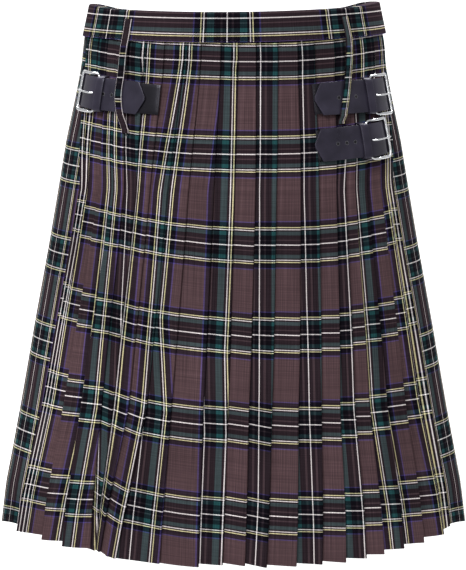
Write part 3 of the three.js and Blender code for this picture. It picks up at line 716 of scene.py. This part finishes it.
def belt_loop(name, rows, material, folded):
    z = np.array([r[1] for r in rows], dtype=float)
    fine = np.concatenate([np.linspace(a, b, 6)[:-1] for a, b in zip(z, z[1:])] + [z[-1:]])
    turn = np.interp(-fine, -z, [r[0] for r in rows])
    out = np.interp(-fine, -z, [r[2] for r in rows])
    soft = np.array([0.25, 0.5, 0.25])
    for k in range(3):
        turn[1:-1] = np.convolve(turn, soft, "valid")
        out[1:-1] = np.convolve(out, soft, "valid")
    grid = []
    for here, height, away in zip(turn, fine, out):
        row = []
        for k in range(9):
            share = k / 4 - 1
            side = here + share * LOOP_HALF / reach_at(here, height)
            crown = LOOP_CROWN * (1 - share * share)
            point = on_figure(side, height, away + LOOP_CLOTH / 2 + crown)
            weft, change = FOLDED_LOOP_WEFT if folded else PLAIN_LOOP_WEFT
            weft += change * (abs(share) - 1 if folded else share)
            row.append((point, (point.z - LOOP_WHITE, weft)))
        grid.append(row)
    obj = sheet_of(name, grid, material, LOOP_CLOTH, bevel=0.25)
    return obj, grid


# Leather

PLEAT_FACE = proud_at(0)
CHAPE_OUT = GAP + CHAPE / 2
HINGE_OUT = GAP + CHAPE + RING_GAP + WIRE
CHAPE_TOP_OUT = HINGE_OUT + WIRE + RING_GAP + CHAPE / 2
STRAP_LOW = GAP + CHAPE + GAP + STRAP / 2
STRAP_HIGH = CHAPE_TOP_OUT + CHAPE / 2 + GAP + STRAP / 2
STRAP_UNDER_BAR = GAP + STRAP / 2
BAR_OUT = STRAP_UNDER_BAR + STRAP / 2 + GAP + WIRE


def strap_turn(row, s):
    return row["side"] * (row["hinge"] + s / reach_at(row["hinge"], row["middle"]))


def strap_middle(row, turn):
    return row["middle"] + row["slope"] * (abs(turn) - row["hinge"])


def s_of(row, turn):
    return (turn - row["hinge"]) * reach_at(row["hinge"], row["middle"])


def rounded(points, step, passes=2):
    """A path sampled evenly, with its corners eased."""
    p = np.array(points, dtype=float)
    size = np.concatenate([[0], np.cumsum(np.linalg.norm(np.diff(p, axis=0), axis=1))])
    count = max(4, int(size[-1] / step))
    at = np.linspace(0, size[-1], count)
    q = np.stack([np.interp(at, size, p[:, k]) for k in range(p.shape[1])], axis=1)
    for _ in range(passes):
        q[1:-1] = (q[:-2] + 2 * q[1:-1] + q[2:]) / 4
    return q


# Place along the strap from the hinge, then how far its middle stands off the pleats
STRAP_BEND = [(-17, STRAP_LOW), (-9, STRAP_LOW + 2.6), (-3, STRAP_HIGH - 0.1),
              (3, STRAP_HIGH - 0.1), (10, STRAP_HIGH - 1.2), (18, STRAP_HIGH - 2.6),
              (24, STRAP_HIGH - 4), (FRAME_LENGTH - 4, STRAP_UNDER_BAR + 0.4),
              (FRAME_LENGTH + 1, STRAP_UNDER_BAR), (FRAME_LENGTH + 4.4, STRAP_UNDER_BAR)]


def strap_path(row):
    return [(s_of(row, row["tip"]), STRAP_LOW)] + STRAP_BEND


def strap_out(row, s):
    path = strap_path(row)
    return float(np.interp(s, [p[0] for p in path], [p[1] for p in path]))


def leather_point(row, s, out, rise):
    turn = strap_turn(row, s)
    return on_figure(turn, strap_middle(row, turn) + rise, out + PLEAT_FACE)


def strip_grid(row, path, half_at, columns=9):
    grid = []
    for s, out in path:
        cells = []
        half = half_at(s)
        for k in range(columns):
            rise = half * (2 * k / (columns - 1) - 1)
            cells.append((leather_point(row, s, out, rise), (s, rise)))
        grid.append(cells)
    return grid


def strap_piece(row, material):
    tip = s_of(row, row["tip"])
    path = rounded(strap_path(row), LEATHER_SAMPLE)
    path[0] = strap_path(row)[0]

    def half_at(s):
        share = min(1.0, (s - tip) / STRAP_TIP_LENGTH)
        return STRAP_TIP_HALF + (STRAP_HALF - STRAP_TIP_HALF) * share

    path = np.array(sorted(path.tolist() + [[tip + STRAP_TIP_LENGTH, STRAP_LOW]]))
    grid = strip_grid(row, path, half_at)
    return sheet_of("strap_%s_leather" % row["name"], grid, material, STRAP,
                    bevel=0.35)


def chape_piece(row, material):
    reach = WIRE + RING_GAP + CHAPE / 2
    start = s_of(row, row["chape_end"])
    flat = rounded([(start, CHAPE_OUT), (0, CHAPE_OUT)], 4, 0)
    turn = [(reach * math.sin(a), HINGE_OUT - reach * math.cos(a))
            for a in np.radians(CHAPE_FOLD_ANGLES)]
    path = flat.tolist() + turn + [(0, CHAPE_TOP_OUT), (-CHAPE_TONGUE, CHAPE_TOP_OUT - 0.2)]
    grid = strip_grid(row, path, lambda s: CHAPE_HALF)
    return sheet_of("chape_%s_leather" % row["name"], grid, material, CHAPE,
                    bevel=0.25)


def keeper_piece(row, material):
    inside = STRAP_HALF + KEEPER_BESIDE + KEEPER / 2
    grid = []
    for share in np.linspace(0, 1, 6):
        s = -KEEPER_FAR + (KEEPER_FAR - KEEPER_NEAR) * share
        top = strap_out(row, s) + STRAP / 2 + KEEPER_OVER + KEEPER / 2
        corner = KEEPER_CORNER
        path = [(-inside, GAP), (-inside, top - corner), (-inside + corner, top)]
        path += [(inside * k, top + KEEPER_CROWN * (1 - k * k)) for k in (-0.6, -0.3, 0, 0.3, 0.6)]
        path += [(inside - corner, top), (inside, top - corner), (inside, GAP)]
        swell = KEEPER_SWELL * math.sin(math.pi * share)
        grid.append([(leather_point(row, s, out + swell, rise), (s, rise))
                     for rise, out in rounded(path, 1.6, 1)])
    count = min(len(cells) for cells in grid)
    grid = [[cells[round(k * (len(cells) - 1) / (count - 1))] for k in range(count)]
            for cells in grid]
    return sheet_of("keeper_%s_leather" % row["name"], grid, material, KEEPER,
                    bevel=0.3)


# Steel

def ring(centre, side, up, radius, sides):
    angles = [2 * math.pi * k / sides for k in range(sides)]
    return [centre + (side * math.cos(a) + up * math.sin(a)) * radius for a in angles]


def ring_faces(base, count, sides, closed=False):
    """Faces between rings of points, with flat ends where they don't close."""
    faces = []
    for i in range(count if closed else count - 1):
        n = (i + 1) % count
        for k in range(sides):
            m = (k + 1) % sides
            faces.append(tuple(base + j for j in (i * sides + k, i * sides + m,
                                                  n * sides + m, n * sides + k)))
    if not closed:
        faces.append(tuple(base + k for k in reversed(range(sides))))
        faces.append(tuple(base + (count - 1) * sides + k for k in range(sides)))
    return faces


def tube(name, centres, radii, material, away, closed, sides=14):
    verts = []
    count = len(centres)
    for i, centre in enumerate(centres):
        before = centres[i - 1] if closed or i else centre
        after = centres[(i + 1) % count] if closed or i < count - 1 else centre
        along = (after - before).normalized()
        side = along.cross(away).normalized()
        up = side.cross(along).normalized()
        verts += ring(centre, side, up, radii[i], sides)
    faces = ring_faces(0, count, sides, closed)
    obj = link(name, verts, faces, None, material)
    return settle(obj, 60)


def away_at(row, s):
    turn = strap_turn(row, s)
    return (on_figure(turn, row["middle"], 10) - on_figure(turn, row["middle"], 0)).normalized()


def frame_piece(row, material):
    places = []
    c, half, length = FRAME_CORNER, FRAME_HALF, FRAME_LENGTH
    for s, rise, start in ((length - c, half - c, 0), (c, half - c, 90), (c, c - half, 180),
                           (length - c, c - half, 270)):
        for angle in np.radians(start + np.linspace(0, 90, 7)):
            places.append((s + c * math.cos(angle), rise + c * math.sin(angle)))
    fine = []
    for (s0, r0), (s1, r1) in zip(places, places[1:] + places[:1]):
        steps = max(1, math.ceil(math.hypot(s1 - s0, r1 - r0) / 3))
        fine += [(s0 + (s1 - s0) * k / steps, r0 + (r1 - r0) * k / steps) for k in range(steps)]
    centres = []
    for s, rise in fine:
        share = s / length
        out = HINGE_OUT + (BAR_OUT - HINGE_OUT) * share + FRAME_BOW * math.sin(math.pi * share)
        centres.append(leather_point(row, s, out, rise))
    radii = [SHOWN_WIRE if s > 4 else WIRE for s, rise in fine]
    return tube("buckle_%s_steel" % row["name"], centres, radii, material,
                away_at(row, length / 2), True)


PRONG_HALF = 0.9


def prong_piece(row, material):
    half = PRONG_HALF
    top = STRAP_HIGH + STRAP / 2
    bar = BAR_OUT + SHOWN_WIRE
    path = [(-0.4, HINGE_OUT + WIRE + 0.3 + half), (1.2, STRAP_HIGH - 0.4),
            (3.4, top + 0.7 + half), (12, top + 0.3 + half), (FRAME_LENGTH - 8, bar + 1.5 + half),
            (FRAME_LENGTH, bar + 0.3 + half), (FRAME_LENGTH + 1.6, bar + 0.1 + half)]
    fine = rounded(path, 1.2, 2)
    centres = [leather_point(row, s, out, 0) for s, out in fine]
    radii = [half if s < FRAME_LENGTH else half * (1 - 0.25 * (s - FRAME_LENGTH)) for s, _ in fine]
    return tube("prong_%s_steel" % row["name"], centres, radii, material,
                away_at(row, FRAME_LENGTH / 2), False)


# Stitches

# Share of the way along a stitch, its size there and how far it stands up
STITCH = ((0, 0.35, -0.5), (0.18, 1, 0.1), (0.5, 1.1, 0.3), (0.82, 1, 0.1), (1, 0.35, -0.5))
STITCH_SIDES = 6


def stitches(name, runs, material, radius=0.28):
    """Short rounded stitches along runs of points, each a start and an end."""
    verts, faces = [], []
    for start, end, away in runs:
        along = end - start
        side = along.cross(away).normalized()
        up = side.cross(along).normalized()
        faces += ring_faces(len(verts), len(STITCH), STITCH_SIDES)
        for share, size, lift in STITCH:
            centre = start + along * share + up * radius * lift
            verts += ring(centre, side, up, radius * size, STITCH_SIDES)
    obj = link(name, verts, faces, None, material)
    return settle(obj, 80)


# Materials

DISPLAY_GAMMA = 2.2


class Nodes:
    """Small helper for building a material's node tree."""

    def __init__(self, name):
        self.material = bpy.data.materials.new(name)
        self.material.use_nodes = True
        self.tree = self.material.node_tree
        self.tree.nodes.clear()
        self.surface = self.new("BsdfPrincipled")
        self.new("OutputMaterial", Surface=self.surface.outputs["BSDF"])

    def put(self, socket, value):
        if isinstance(value, bpy.types.NodeSocket):
            self.tree.links.new(value, socket)
        else:
            socket.default_value = value

    def new(self, kind, **inputs):
        made = self.tree.nodes.new("ShaderNode" + kind)
        for name, value in inputs.items():
            self.put(made.inputs[name], value)
        return made

    def math(self, operation, a, b=0.0, c=0.0):
        made = self.new("Math")
        made.operation = operation
        for socket, value in zip(made.inputs, (a, b, c)):
            self.put(socket, value)
        return made.outputs[0]

    def plus(self, a, b):
        return self.math("ADD", a, b)

    def times(self, a, b):
        return self.math("MULTIPLY", a, b)

    def ramp(self, value, stops, interpolation="CONSTANT"):
        made = self.new("ValToRGB", Fac=value)
        made.color_ramp.interpolation = interpolation
        elements = made.color_ramp.elements
        while len(elements) > 1:
            elements.remove(elements[-1])
        for k, (position, colour) in enumerate(stops):
            element = elements[0] if k == 0 else elements.new(position)
            element.position = position
            element.color = colour
        return made.outputs["Color"], made.outputs["Alpha"]

    def between(self, noise, low, high):
        """A colour between two others, by a noise value that is mostly 0.3 to 0.7."""
        return self.ramp(noise, [(0.3, low), (0.7, high)], "LINEAR")[0]

    def mix(self, share, a, b, blend="MIX"):
        made = self.new("Mix")
        made.data_type = "RGBA"
        made.blend_type = blend
        self.put(made.inputs[0], share)
        self.put(made.inputs[6], a)
        self.put(made.inputs[7], b)
        return made.outputs[2]

    def place(self):
        made = self.new("UVMap")
        made.uv_map = "cloth"
        parts = self.new("SeparateXYZ", Vector=made.outputs["UV"])
        return parts.outputs["X"], parts.outputs["Y"]

    def vector(self, x, y, z=0.0):
        return self.new("CombineXYZ", X=x, Y=y, Z=z).outputs[0]

    def object_place(self):
        return self.new("TexCoord").outputs["Object"]

    def noise(self, vector, scale=1.0, detail=2.0, roughness=0.5):
        made = self.new("TexNoise", Vector=vector, Scale=scale, Detail=detail,
                        Roughness=roughness)
        return made.outputs[0]

    def bump(self, height, strength, distance):
        made = self.new("Bump", Strength=strength, Distance=distance, Height=height)
        self.give("Normal", made.outputs["Normal"])

    def spread(self, value, low, high):
        """A noise value, mostly between a quarter and three quarters, turned into a factor
        between low and high."""
        return self.math("MULTIPLY_ADD", value, 2 * (high - low), (3 * low - high) / 2)

    def give(self, name, value):
        self.put(self.surface.inputs[name], value)

    def give_colour(self, colour):
        """Turns a display colour into light and gives it to the surface."""
        gamma = self.new("Gamma", Color=colour, Gamma=DISPLAY_GAMMA)
        self.give("Base Color", gamma.outputs["Color"])


def tone(r, g, b, weight=0.5):
    return (r / 255, g / 255, b / 255, weight)


# Threads, as display colours; the last number is how much a thread shows in a crossing
BROWN = tone(80, 63, 66)
DARK = tone(22, 20, 25, 0.8)
DUSK = tone(56, 48, 53)
GREEN = tone(38, 72, 74)
NAVY = tone(26, 23, 34, 0.7)
BLUE = tone(80, 70, 134, 0.6)
WHITE = tone(252, 244, 244, 1.7)
YELLOW = tone(240, 232, 176, 1.4)

# Distance from a white line where each stripe of the repeat starts, for warp and weft
STRIPES = [
    (0, 0, WHITE), (0.42, 0.44, DARK), (4.2, 4.0, DUSK), (5.9, 5.3, DARK),
    (11.6, 9.6, GREEN), (18.2, 13.4, DARK), (20.7, 14.75, WHITE), (21.5, 15.6, DARK),
    (23.2, 17.0, YELLOW), (24.1, 17.8, DARK), (26.4, 19.6, NAVY), (29.5, 22.7, BLUE),
    (30.9, 23.9, BROWN),
]


# Keeps the weights of the threads under one, as an alpha has to be
WEIGHT_SCALE = 4
TWILL_STEP = 1.1


def stripes(nodes, value, repeat, column):
    """Colour and weight of the threads at a place on the warp or the weft."""
    half = repeat / 2
    share = nodes.math("DIVIDE", nodes.math("PINGPONG", value, half), half)
    return nodes.ramp(share, [(row[column] / half, row[2][:3] + (row[2][3] / WEIGHT_SCALE,))
                              for row in STRIPES])


def tartan_material(name):
    """A fine twill: both sets of threads, their crossing, slubs and the weave's relief."""
    nodes = Nodes(name)
    u, v = nodes.place()
    warp, warp_weight = stripes(nodes, u, WARP_REPEAT, 0)
    weft, weft_weight = stripes(nodes, v, WEFT_REPEAT, 1)
    # The two-and-two twill shows warp and weft in turn along a diagonal
    diagonal = nodes.plus(nodes.times(u, 1 / TWILL_STEP), nodes.times(v, 1 / TWILL_STEP))
    twill = nodes.math("PINGPONG", diagonal, 0.5)
    weft_now = nodes.times(weft_weight, nodes.math("MULTIPLY_ADD", twill, 1.2, 0.7))
    share = nodes.math("DIVIDE", weft_now, nodes.plus(warp_weight, weft_now))
    cloth = nodes.mix(share, warp, weft)
    # Slubs: single threads a little lighter or darker than their neighbours
    slub_u = nodes.noise(nodes.vector(nodes.times(u, 0.9), nodes.times(v, 0.012)))
    slub_v = nodes.noise(nodes.vector(nodes.times(u, 0.012), nodes.times(v, 0.9), 4.0))
    soft = nodes.noise(nodes.object_place(), 9.0, 3.0)
    factor = nodes.times(nodes.spread(slub_u, 0.84, 1.16), nodes.spread(slub_v, 0.9, 1.1))
    factor = nodes.times(factor, nodes.spread(soft, 0.93, 1.07))
    nodes.give_colour(nodes.mix(1.0, cloth, nodes.vector(factor, factor, factor), "MULTIPLY"))
    nodes.give("Roughness", 0.9)
    nodes.give("Specular IOR Level", 0.02)
    nodes.bump(nodes.plus(nodes.times(twill, 0.9), nodes.times(slub_u, 0.5)), 0.35, 0.00018)
    return nodes.material


# How far the shading of a punched hole reaches from its middle, and how far its painted shade
# inside and painted highlight on the rim reach
HOLE_SHADING = 4.0
HOLE_PAINT_REACH = 1.9


def leather_material(name, hole=None, holes=0, low=(36, 34, 43), high=(52, 49, 61)):
    """Smooth finished leather: fine grain, pores and, on a strap, punched holes with painted shade
    inside and a painted highlight round their rims.
    """
    nodes = Nodes(name)
    s, rise = nodes.place()
    grain = nodes.noise(nodes.object_place(), 1500.0, 3.0)
    pores = nodes.new("TexVoronoi", Vector=nodes.object_place(), Scale=900.0)
    soft = nodes.noise(nodes.object_place(), 45.0, 4.0)
    base = nodes.between(soft, tone(*low, 1), tone(*high, 1))
    relief = nodes.plus(nodes.times(grain, 0.5), nodes.times(pores.outputs["Distance"], 0.5))
    if holes:
        offset = nodes.math("DIVIDE", nodes.math("SUBTRACT", s, hole), HOLE_STEP)
        nearest = nodes.math("MAXIMUM", nodes.math("ROUND", offset), 0.0)
        nearest = nodes.math("MINIMUM", nearest, holes - 1.0)
        along = nodes.times(nodes.math("SUBTRACT", offset, nearest), HOLE_STEP)
        away = nodes.math("SQRT", nodes.plus(nodes.times(along, along),
                                             nodes.times(rise, rise)))
        share = nodes.math("DIVIDE", away, HOLE_SHADING)
        punched = nodes.ramp(share, [(0.0, (0, 0, 0, 1)), (0.26, (0, 0, 0, 1)),
                                     (0.34, (1, 1, 1, 1)), (0.44, (1, 1, 1, 1)),
                                     (0.56, (0.55, 0.55, 0.55, 1))], "LINEAR")[0]
        # Painted shade inside each hole, then a painted highlight round its rim and a darker ring
        # beyond
        hole_shade_and_highlight = nodes.ramp(share, [(0.0, tone(5, 5, 7, 1)), (0.26, tone(5, 5, 7, 1)),
                                 (0.34, tone(78, 76, 78, 1)), (0.44, tone(30, 31, 36, 1)),
                                 (0.5, (1, 1, 1, 1))], "LINEAR")[0]
        base = nodes.mix(nodes.math("LESS_THAN", away, HOLE_PAINT_REACH), base, hole_shade_and_highlight)
        relief = nodes.plus(relief, nodes.times(punched, 1.6))
    nodes.give_colour(base)
    nodes.give("Roughness", nodes.spread(soft, 0.26, 0.4))
    nodes.give("Specular IOR Level", 0.32)
    nodes.give("Specular Tint", (0.86, 0.84, 1.0, 1.0))
    nodes.bump(relief, 0.3, 0.00022)
    return nodes.material


def steel_material(name):
    """Polished plated steel with faint rub marks."""
    nodes = Nodes(name)
    rub = nodes.noise(nodes.object_place(), 320.0, 4.0, 0.6)
    nodes.give("Base Color", nodes.between(rub, (0.62, 0.63, 0.65, 1), (0.78, 0.79, 0.81, 1)))
    nodes.give("Metallic", 1.0)
    nodes.give("Roughness", nodes.spread(rub, 0.12, 0.24))
    nodes.bump(rub, 0.15, 0.0001)
    return nodes.material


def thread_material(name, colour):
    """Twisted sewing thread."""
    nodes = Nodes(name)
    strand = nodes.noise(nodes.object_place(), 2600.0, 2.0)
    dim = [part * 0.7 for part in colour]
    nodes.give_colour(nodes.between(strand, tone(*dim, 1), tone(*colour, 1)))
    nodes.give("Roughness", 0.6)
    nodes.bump(strand, 0.5, 0.0001)
    return nodes.material


def floor_material():
    nodes = Nodes("floor_paint")
    grain = nodes.noise(nodes.object_place(), 30.0, 3.0)
    nodes.give("Base Color", nodes.between(grain, (0.52, 0.52, 0.52, 1), (0.55, 0.55, 0.55, 1)))
    nodes.give("Roughness", 0.9)
    return nodes.material


# The pieces

tartan = tartan_material("tartan_wool")
steel = steel_material("plated_steel")
black_leather = leather_material("black_leather_plain")
# The chapes get the same black leather made darker: painted shade for their lying in the shadow of
# the straps
under_strap_shaded_leather = leather_material("black_leather_painted_shade", low=(12, 11, 14), high=(19, 18, 22))
dark_thread = thread_material("dark_thread", (38, 34, 38))

hung = {"pleated_back": pleated_grid(),
        "over_apron": apron_grid(over_sewn, OVER_EDGE - 360, OVER_WARP_TURN, OVER_WEFT),
        "under_apron": apron_grid(under_sewn, UNDER_EDGE, UNDER_WARP_TURN, UNDER_WEFT)}
for node, grid in hung.items():
    cloth = sheet_of(node + "_cloth", grid, tartan, CLOTH, angle=75)
    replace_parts(cloth, node)
    declare(grid)

band, band_length, band_cut = waistband(tartan)
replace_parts(band, "waistband")

for side, rows in LOOPS.items():
    loop, grid = belt_loop("belt_loop_%s_cloth" % side, rows, tartan, side == "left")
    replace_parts(loop, "belt_loop_" + side)
    declare(grid, turned=2 * LOOP_CLOTH / 1000)

for row in STRAPS:
    name = row["name"]
    holed = leather_material("black_leather_" + name, row["hole"], row["holes"])
    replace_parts(strap_piece(row, holed), "strap_" + name)
    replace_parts(chape_piece(row, under_strap_shaded_leather), "chape_" + name)
    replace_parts(keeper_piece(row, black_leather), "keeper_" + name)
    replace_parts(frame_piece(row, steel), "buckle_" + name)
    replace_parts(prong_piece(row, steel), "prong_" + name)

# Thread: the chapes are sewn down near their ends, the band along its foot
CHAPE_STITCHES = 10
CHAPE_STITCH_STEP = 2.8
CHAPE_STITCH = 1.9
SEAM_INSET = 1.6
BAND_STITCH_TURNS = (-70, 72)
BAND_STITCH_STEP = 1.6
BAND_STITCH = 0.75
BAND_STITCH_RADIUS = 0.2

runs = []
for row in STRAPS:
    start = s_of(row, row["chape_end"])
    face = CHAPE_OUT + CHAPE / 2 + 0.1
    for k in range(CHAPE_STITCHES):
        rise = CHAPE_STITCH_STEP * (k - (CHAPE_STITCHES - 1) / 2)
        a = leather_point(row, start + SEAM_INSET, face, rise)
        b = leather_point(row, start + SEAM_INSET, face, rise + CHAPE_STITCH)
        runs.append((a, b, away_at(row, start)))
stitches("chape_stitches", runs, dark_thread)

runs = []
for turn in np.arange(*BAND_STITCH_TURNS, BAND_STITCH_STEP):
    out = band_faces(turn)[0] + 0.05
    a = on_figure(turn, BAND_FOOT + SEAM_INSET, out)
    b = on_figure(turn + BAND_STITCH, BAND_FOOT + SEAM_INSET, out)
    away = (on_figure(turn, BAND_FOOT, out + 1) - on_figure(turn, BAND_FOOT, out)).normalized()
    runs.append((a, b, away))
stitches("waistband_stitches", runs, dark_thread, BAND_STITCH_RADIUS)


# Camera, floor and light, in metres

CAMERA_PLACE = (0, -2.24, 0.06)
CAMERA_TARGET = (0, 0, -0.287)
CAMERA_LENS = 135.0
CAMERA_SHIFT = -0.0009
FLOOR = -0.66
FLOOR_HALF = 1.3
FLOOR_NEAR = -1.4
FLOOR_FAR = 1.2
FLOOR_BEND = 0.8
WALL_TOP = 1.5
ROOM_LIGHT = 0.12
ROOM_IN_STEEL = 0.5

# name, place, target, width, height, power in watts
LIGHTS = [
    ("key", (-1.0, -2.2, 1.5), (0, 0, -0.2), 0.9, 0.9, 63),
    ("fill", (0.5, -2.6, 0.7), (0, 0, -0.2), 1.2, 1.2, 16),
    ("back_wall", (0, 0.45, 1.3), (0, 1.5, -0.6), 2.4, 0.8, 120),
]


def aim(obj, target):
    obj.rotation_euler = (Vector(target) - obj.location).to_track_quat("-Z", "Y").to_euler()


scene = bpy.context.scene
camera = bpy.data.objects.new("camera", bpy.data.cameras.new("camera"))
scene.collection.objects.link(camera)
camera.location = CAMERA_PLACE
aim(camera, CAMERA_TARGET)
camera.data.sensor_width = 36
camera.data.lens = CAMERA_LENS
camera.data.shift_x = CAMERA_SHIFT
camera.data.clip_end = 30
scene.camera = camera

profile = [(FLOOR_NEAR, FLOOR)]
for a in np.radians(np.linspace(0, 90, 13)):
    profile.append((FLOOR_FAR + FLOOR_BEND * math.sin(a), FLOOR + FLOOR_BEND * (1 - math.cos(a))))
profile.append((FLOOR_FAR + FLOOR_BEND, WALL_TOP))
floor_mesh = bpy.data.meshes.new("floor")
floor_verts = [(x, y, z) for y, z in profile for x in (-FLOOR_HALF, FLOOR_HALF)]
floor_faces = [(2 * k, 2 * k + 1, 2 * k + 3, 2 * k + 2) for k in range(len(profile) - 1)]
floor_mesh.from_pydata(floor_verts, [], floor_faces)
floor_mesh.shade_smooth()
floor_mesh.materials.append(floor_material())
floor = bpy.data.objects.new("floor", floor_mesh)
scene.collection.objects.link(floor)

for name, place, target, width, height, power in LIGHTS:
    data = bpy.data.lights.new(name, "AREA")
    data.shape = "RECTANGLE"
    data.size = width
    data.size_y = height
    data.energy = power
    light = bpy.data.objects.new(name, data)
    scene.collection.objects.link(light)
    light.location = place
    aim(light, target)

# The camera sees a white studio all round, polished things see half of it, and the
# light that it adds to the cloth is low
world = bpy.data.worlds.new("studio")
scene.world = world
world.use_nodes = True
tree = world.node_tree
room = tree.nodes["Background"]
room.inputs["Color"].default_value = (1, 1, 1, 1)
room.inputs["Strength"].default_value = ROOM_LIGHT
seen = tree.nodes.new("ShaderNodeBackground")
seen.inputs["Color"].default_value = (1, 1, 1, 1)
seen.inputs["Strength"].default_value = 1.0
path = tree.nodes.new("ShaderNodeLightPath")
either = tree.nodes.new("ShaderNodeMixShader")
shown = tree.nodes.new("ShaderNodeMath")
shown.operation = "MULTIPLY_ADD"
shown.inputs[1].default_value = ROOM_IN_STEEL
tree.links.new(path.outputs["Is Glossy Ray"], shown.inputs[0])
tree.links.new(path.outputs["Is Camera Ray"], shown.inputs[2])
tree.links.new(shown.outputs[0], either.inputs[0])
tree.links.new(room.outputs[0], either.inputs[1])
tree.links.new(seen.outputs[0], either.inputs[2])
tree.links.new(either.outputs[0], tree.nodes["World Output"].inputs["Surface"])

scene.view_settings.view_transform = "Standard"
scene.view_settings.look = "None"

bpy.context.view_layer.update()
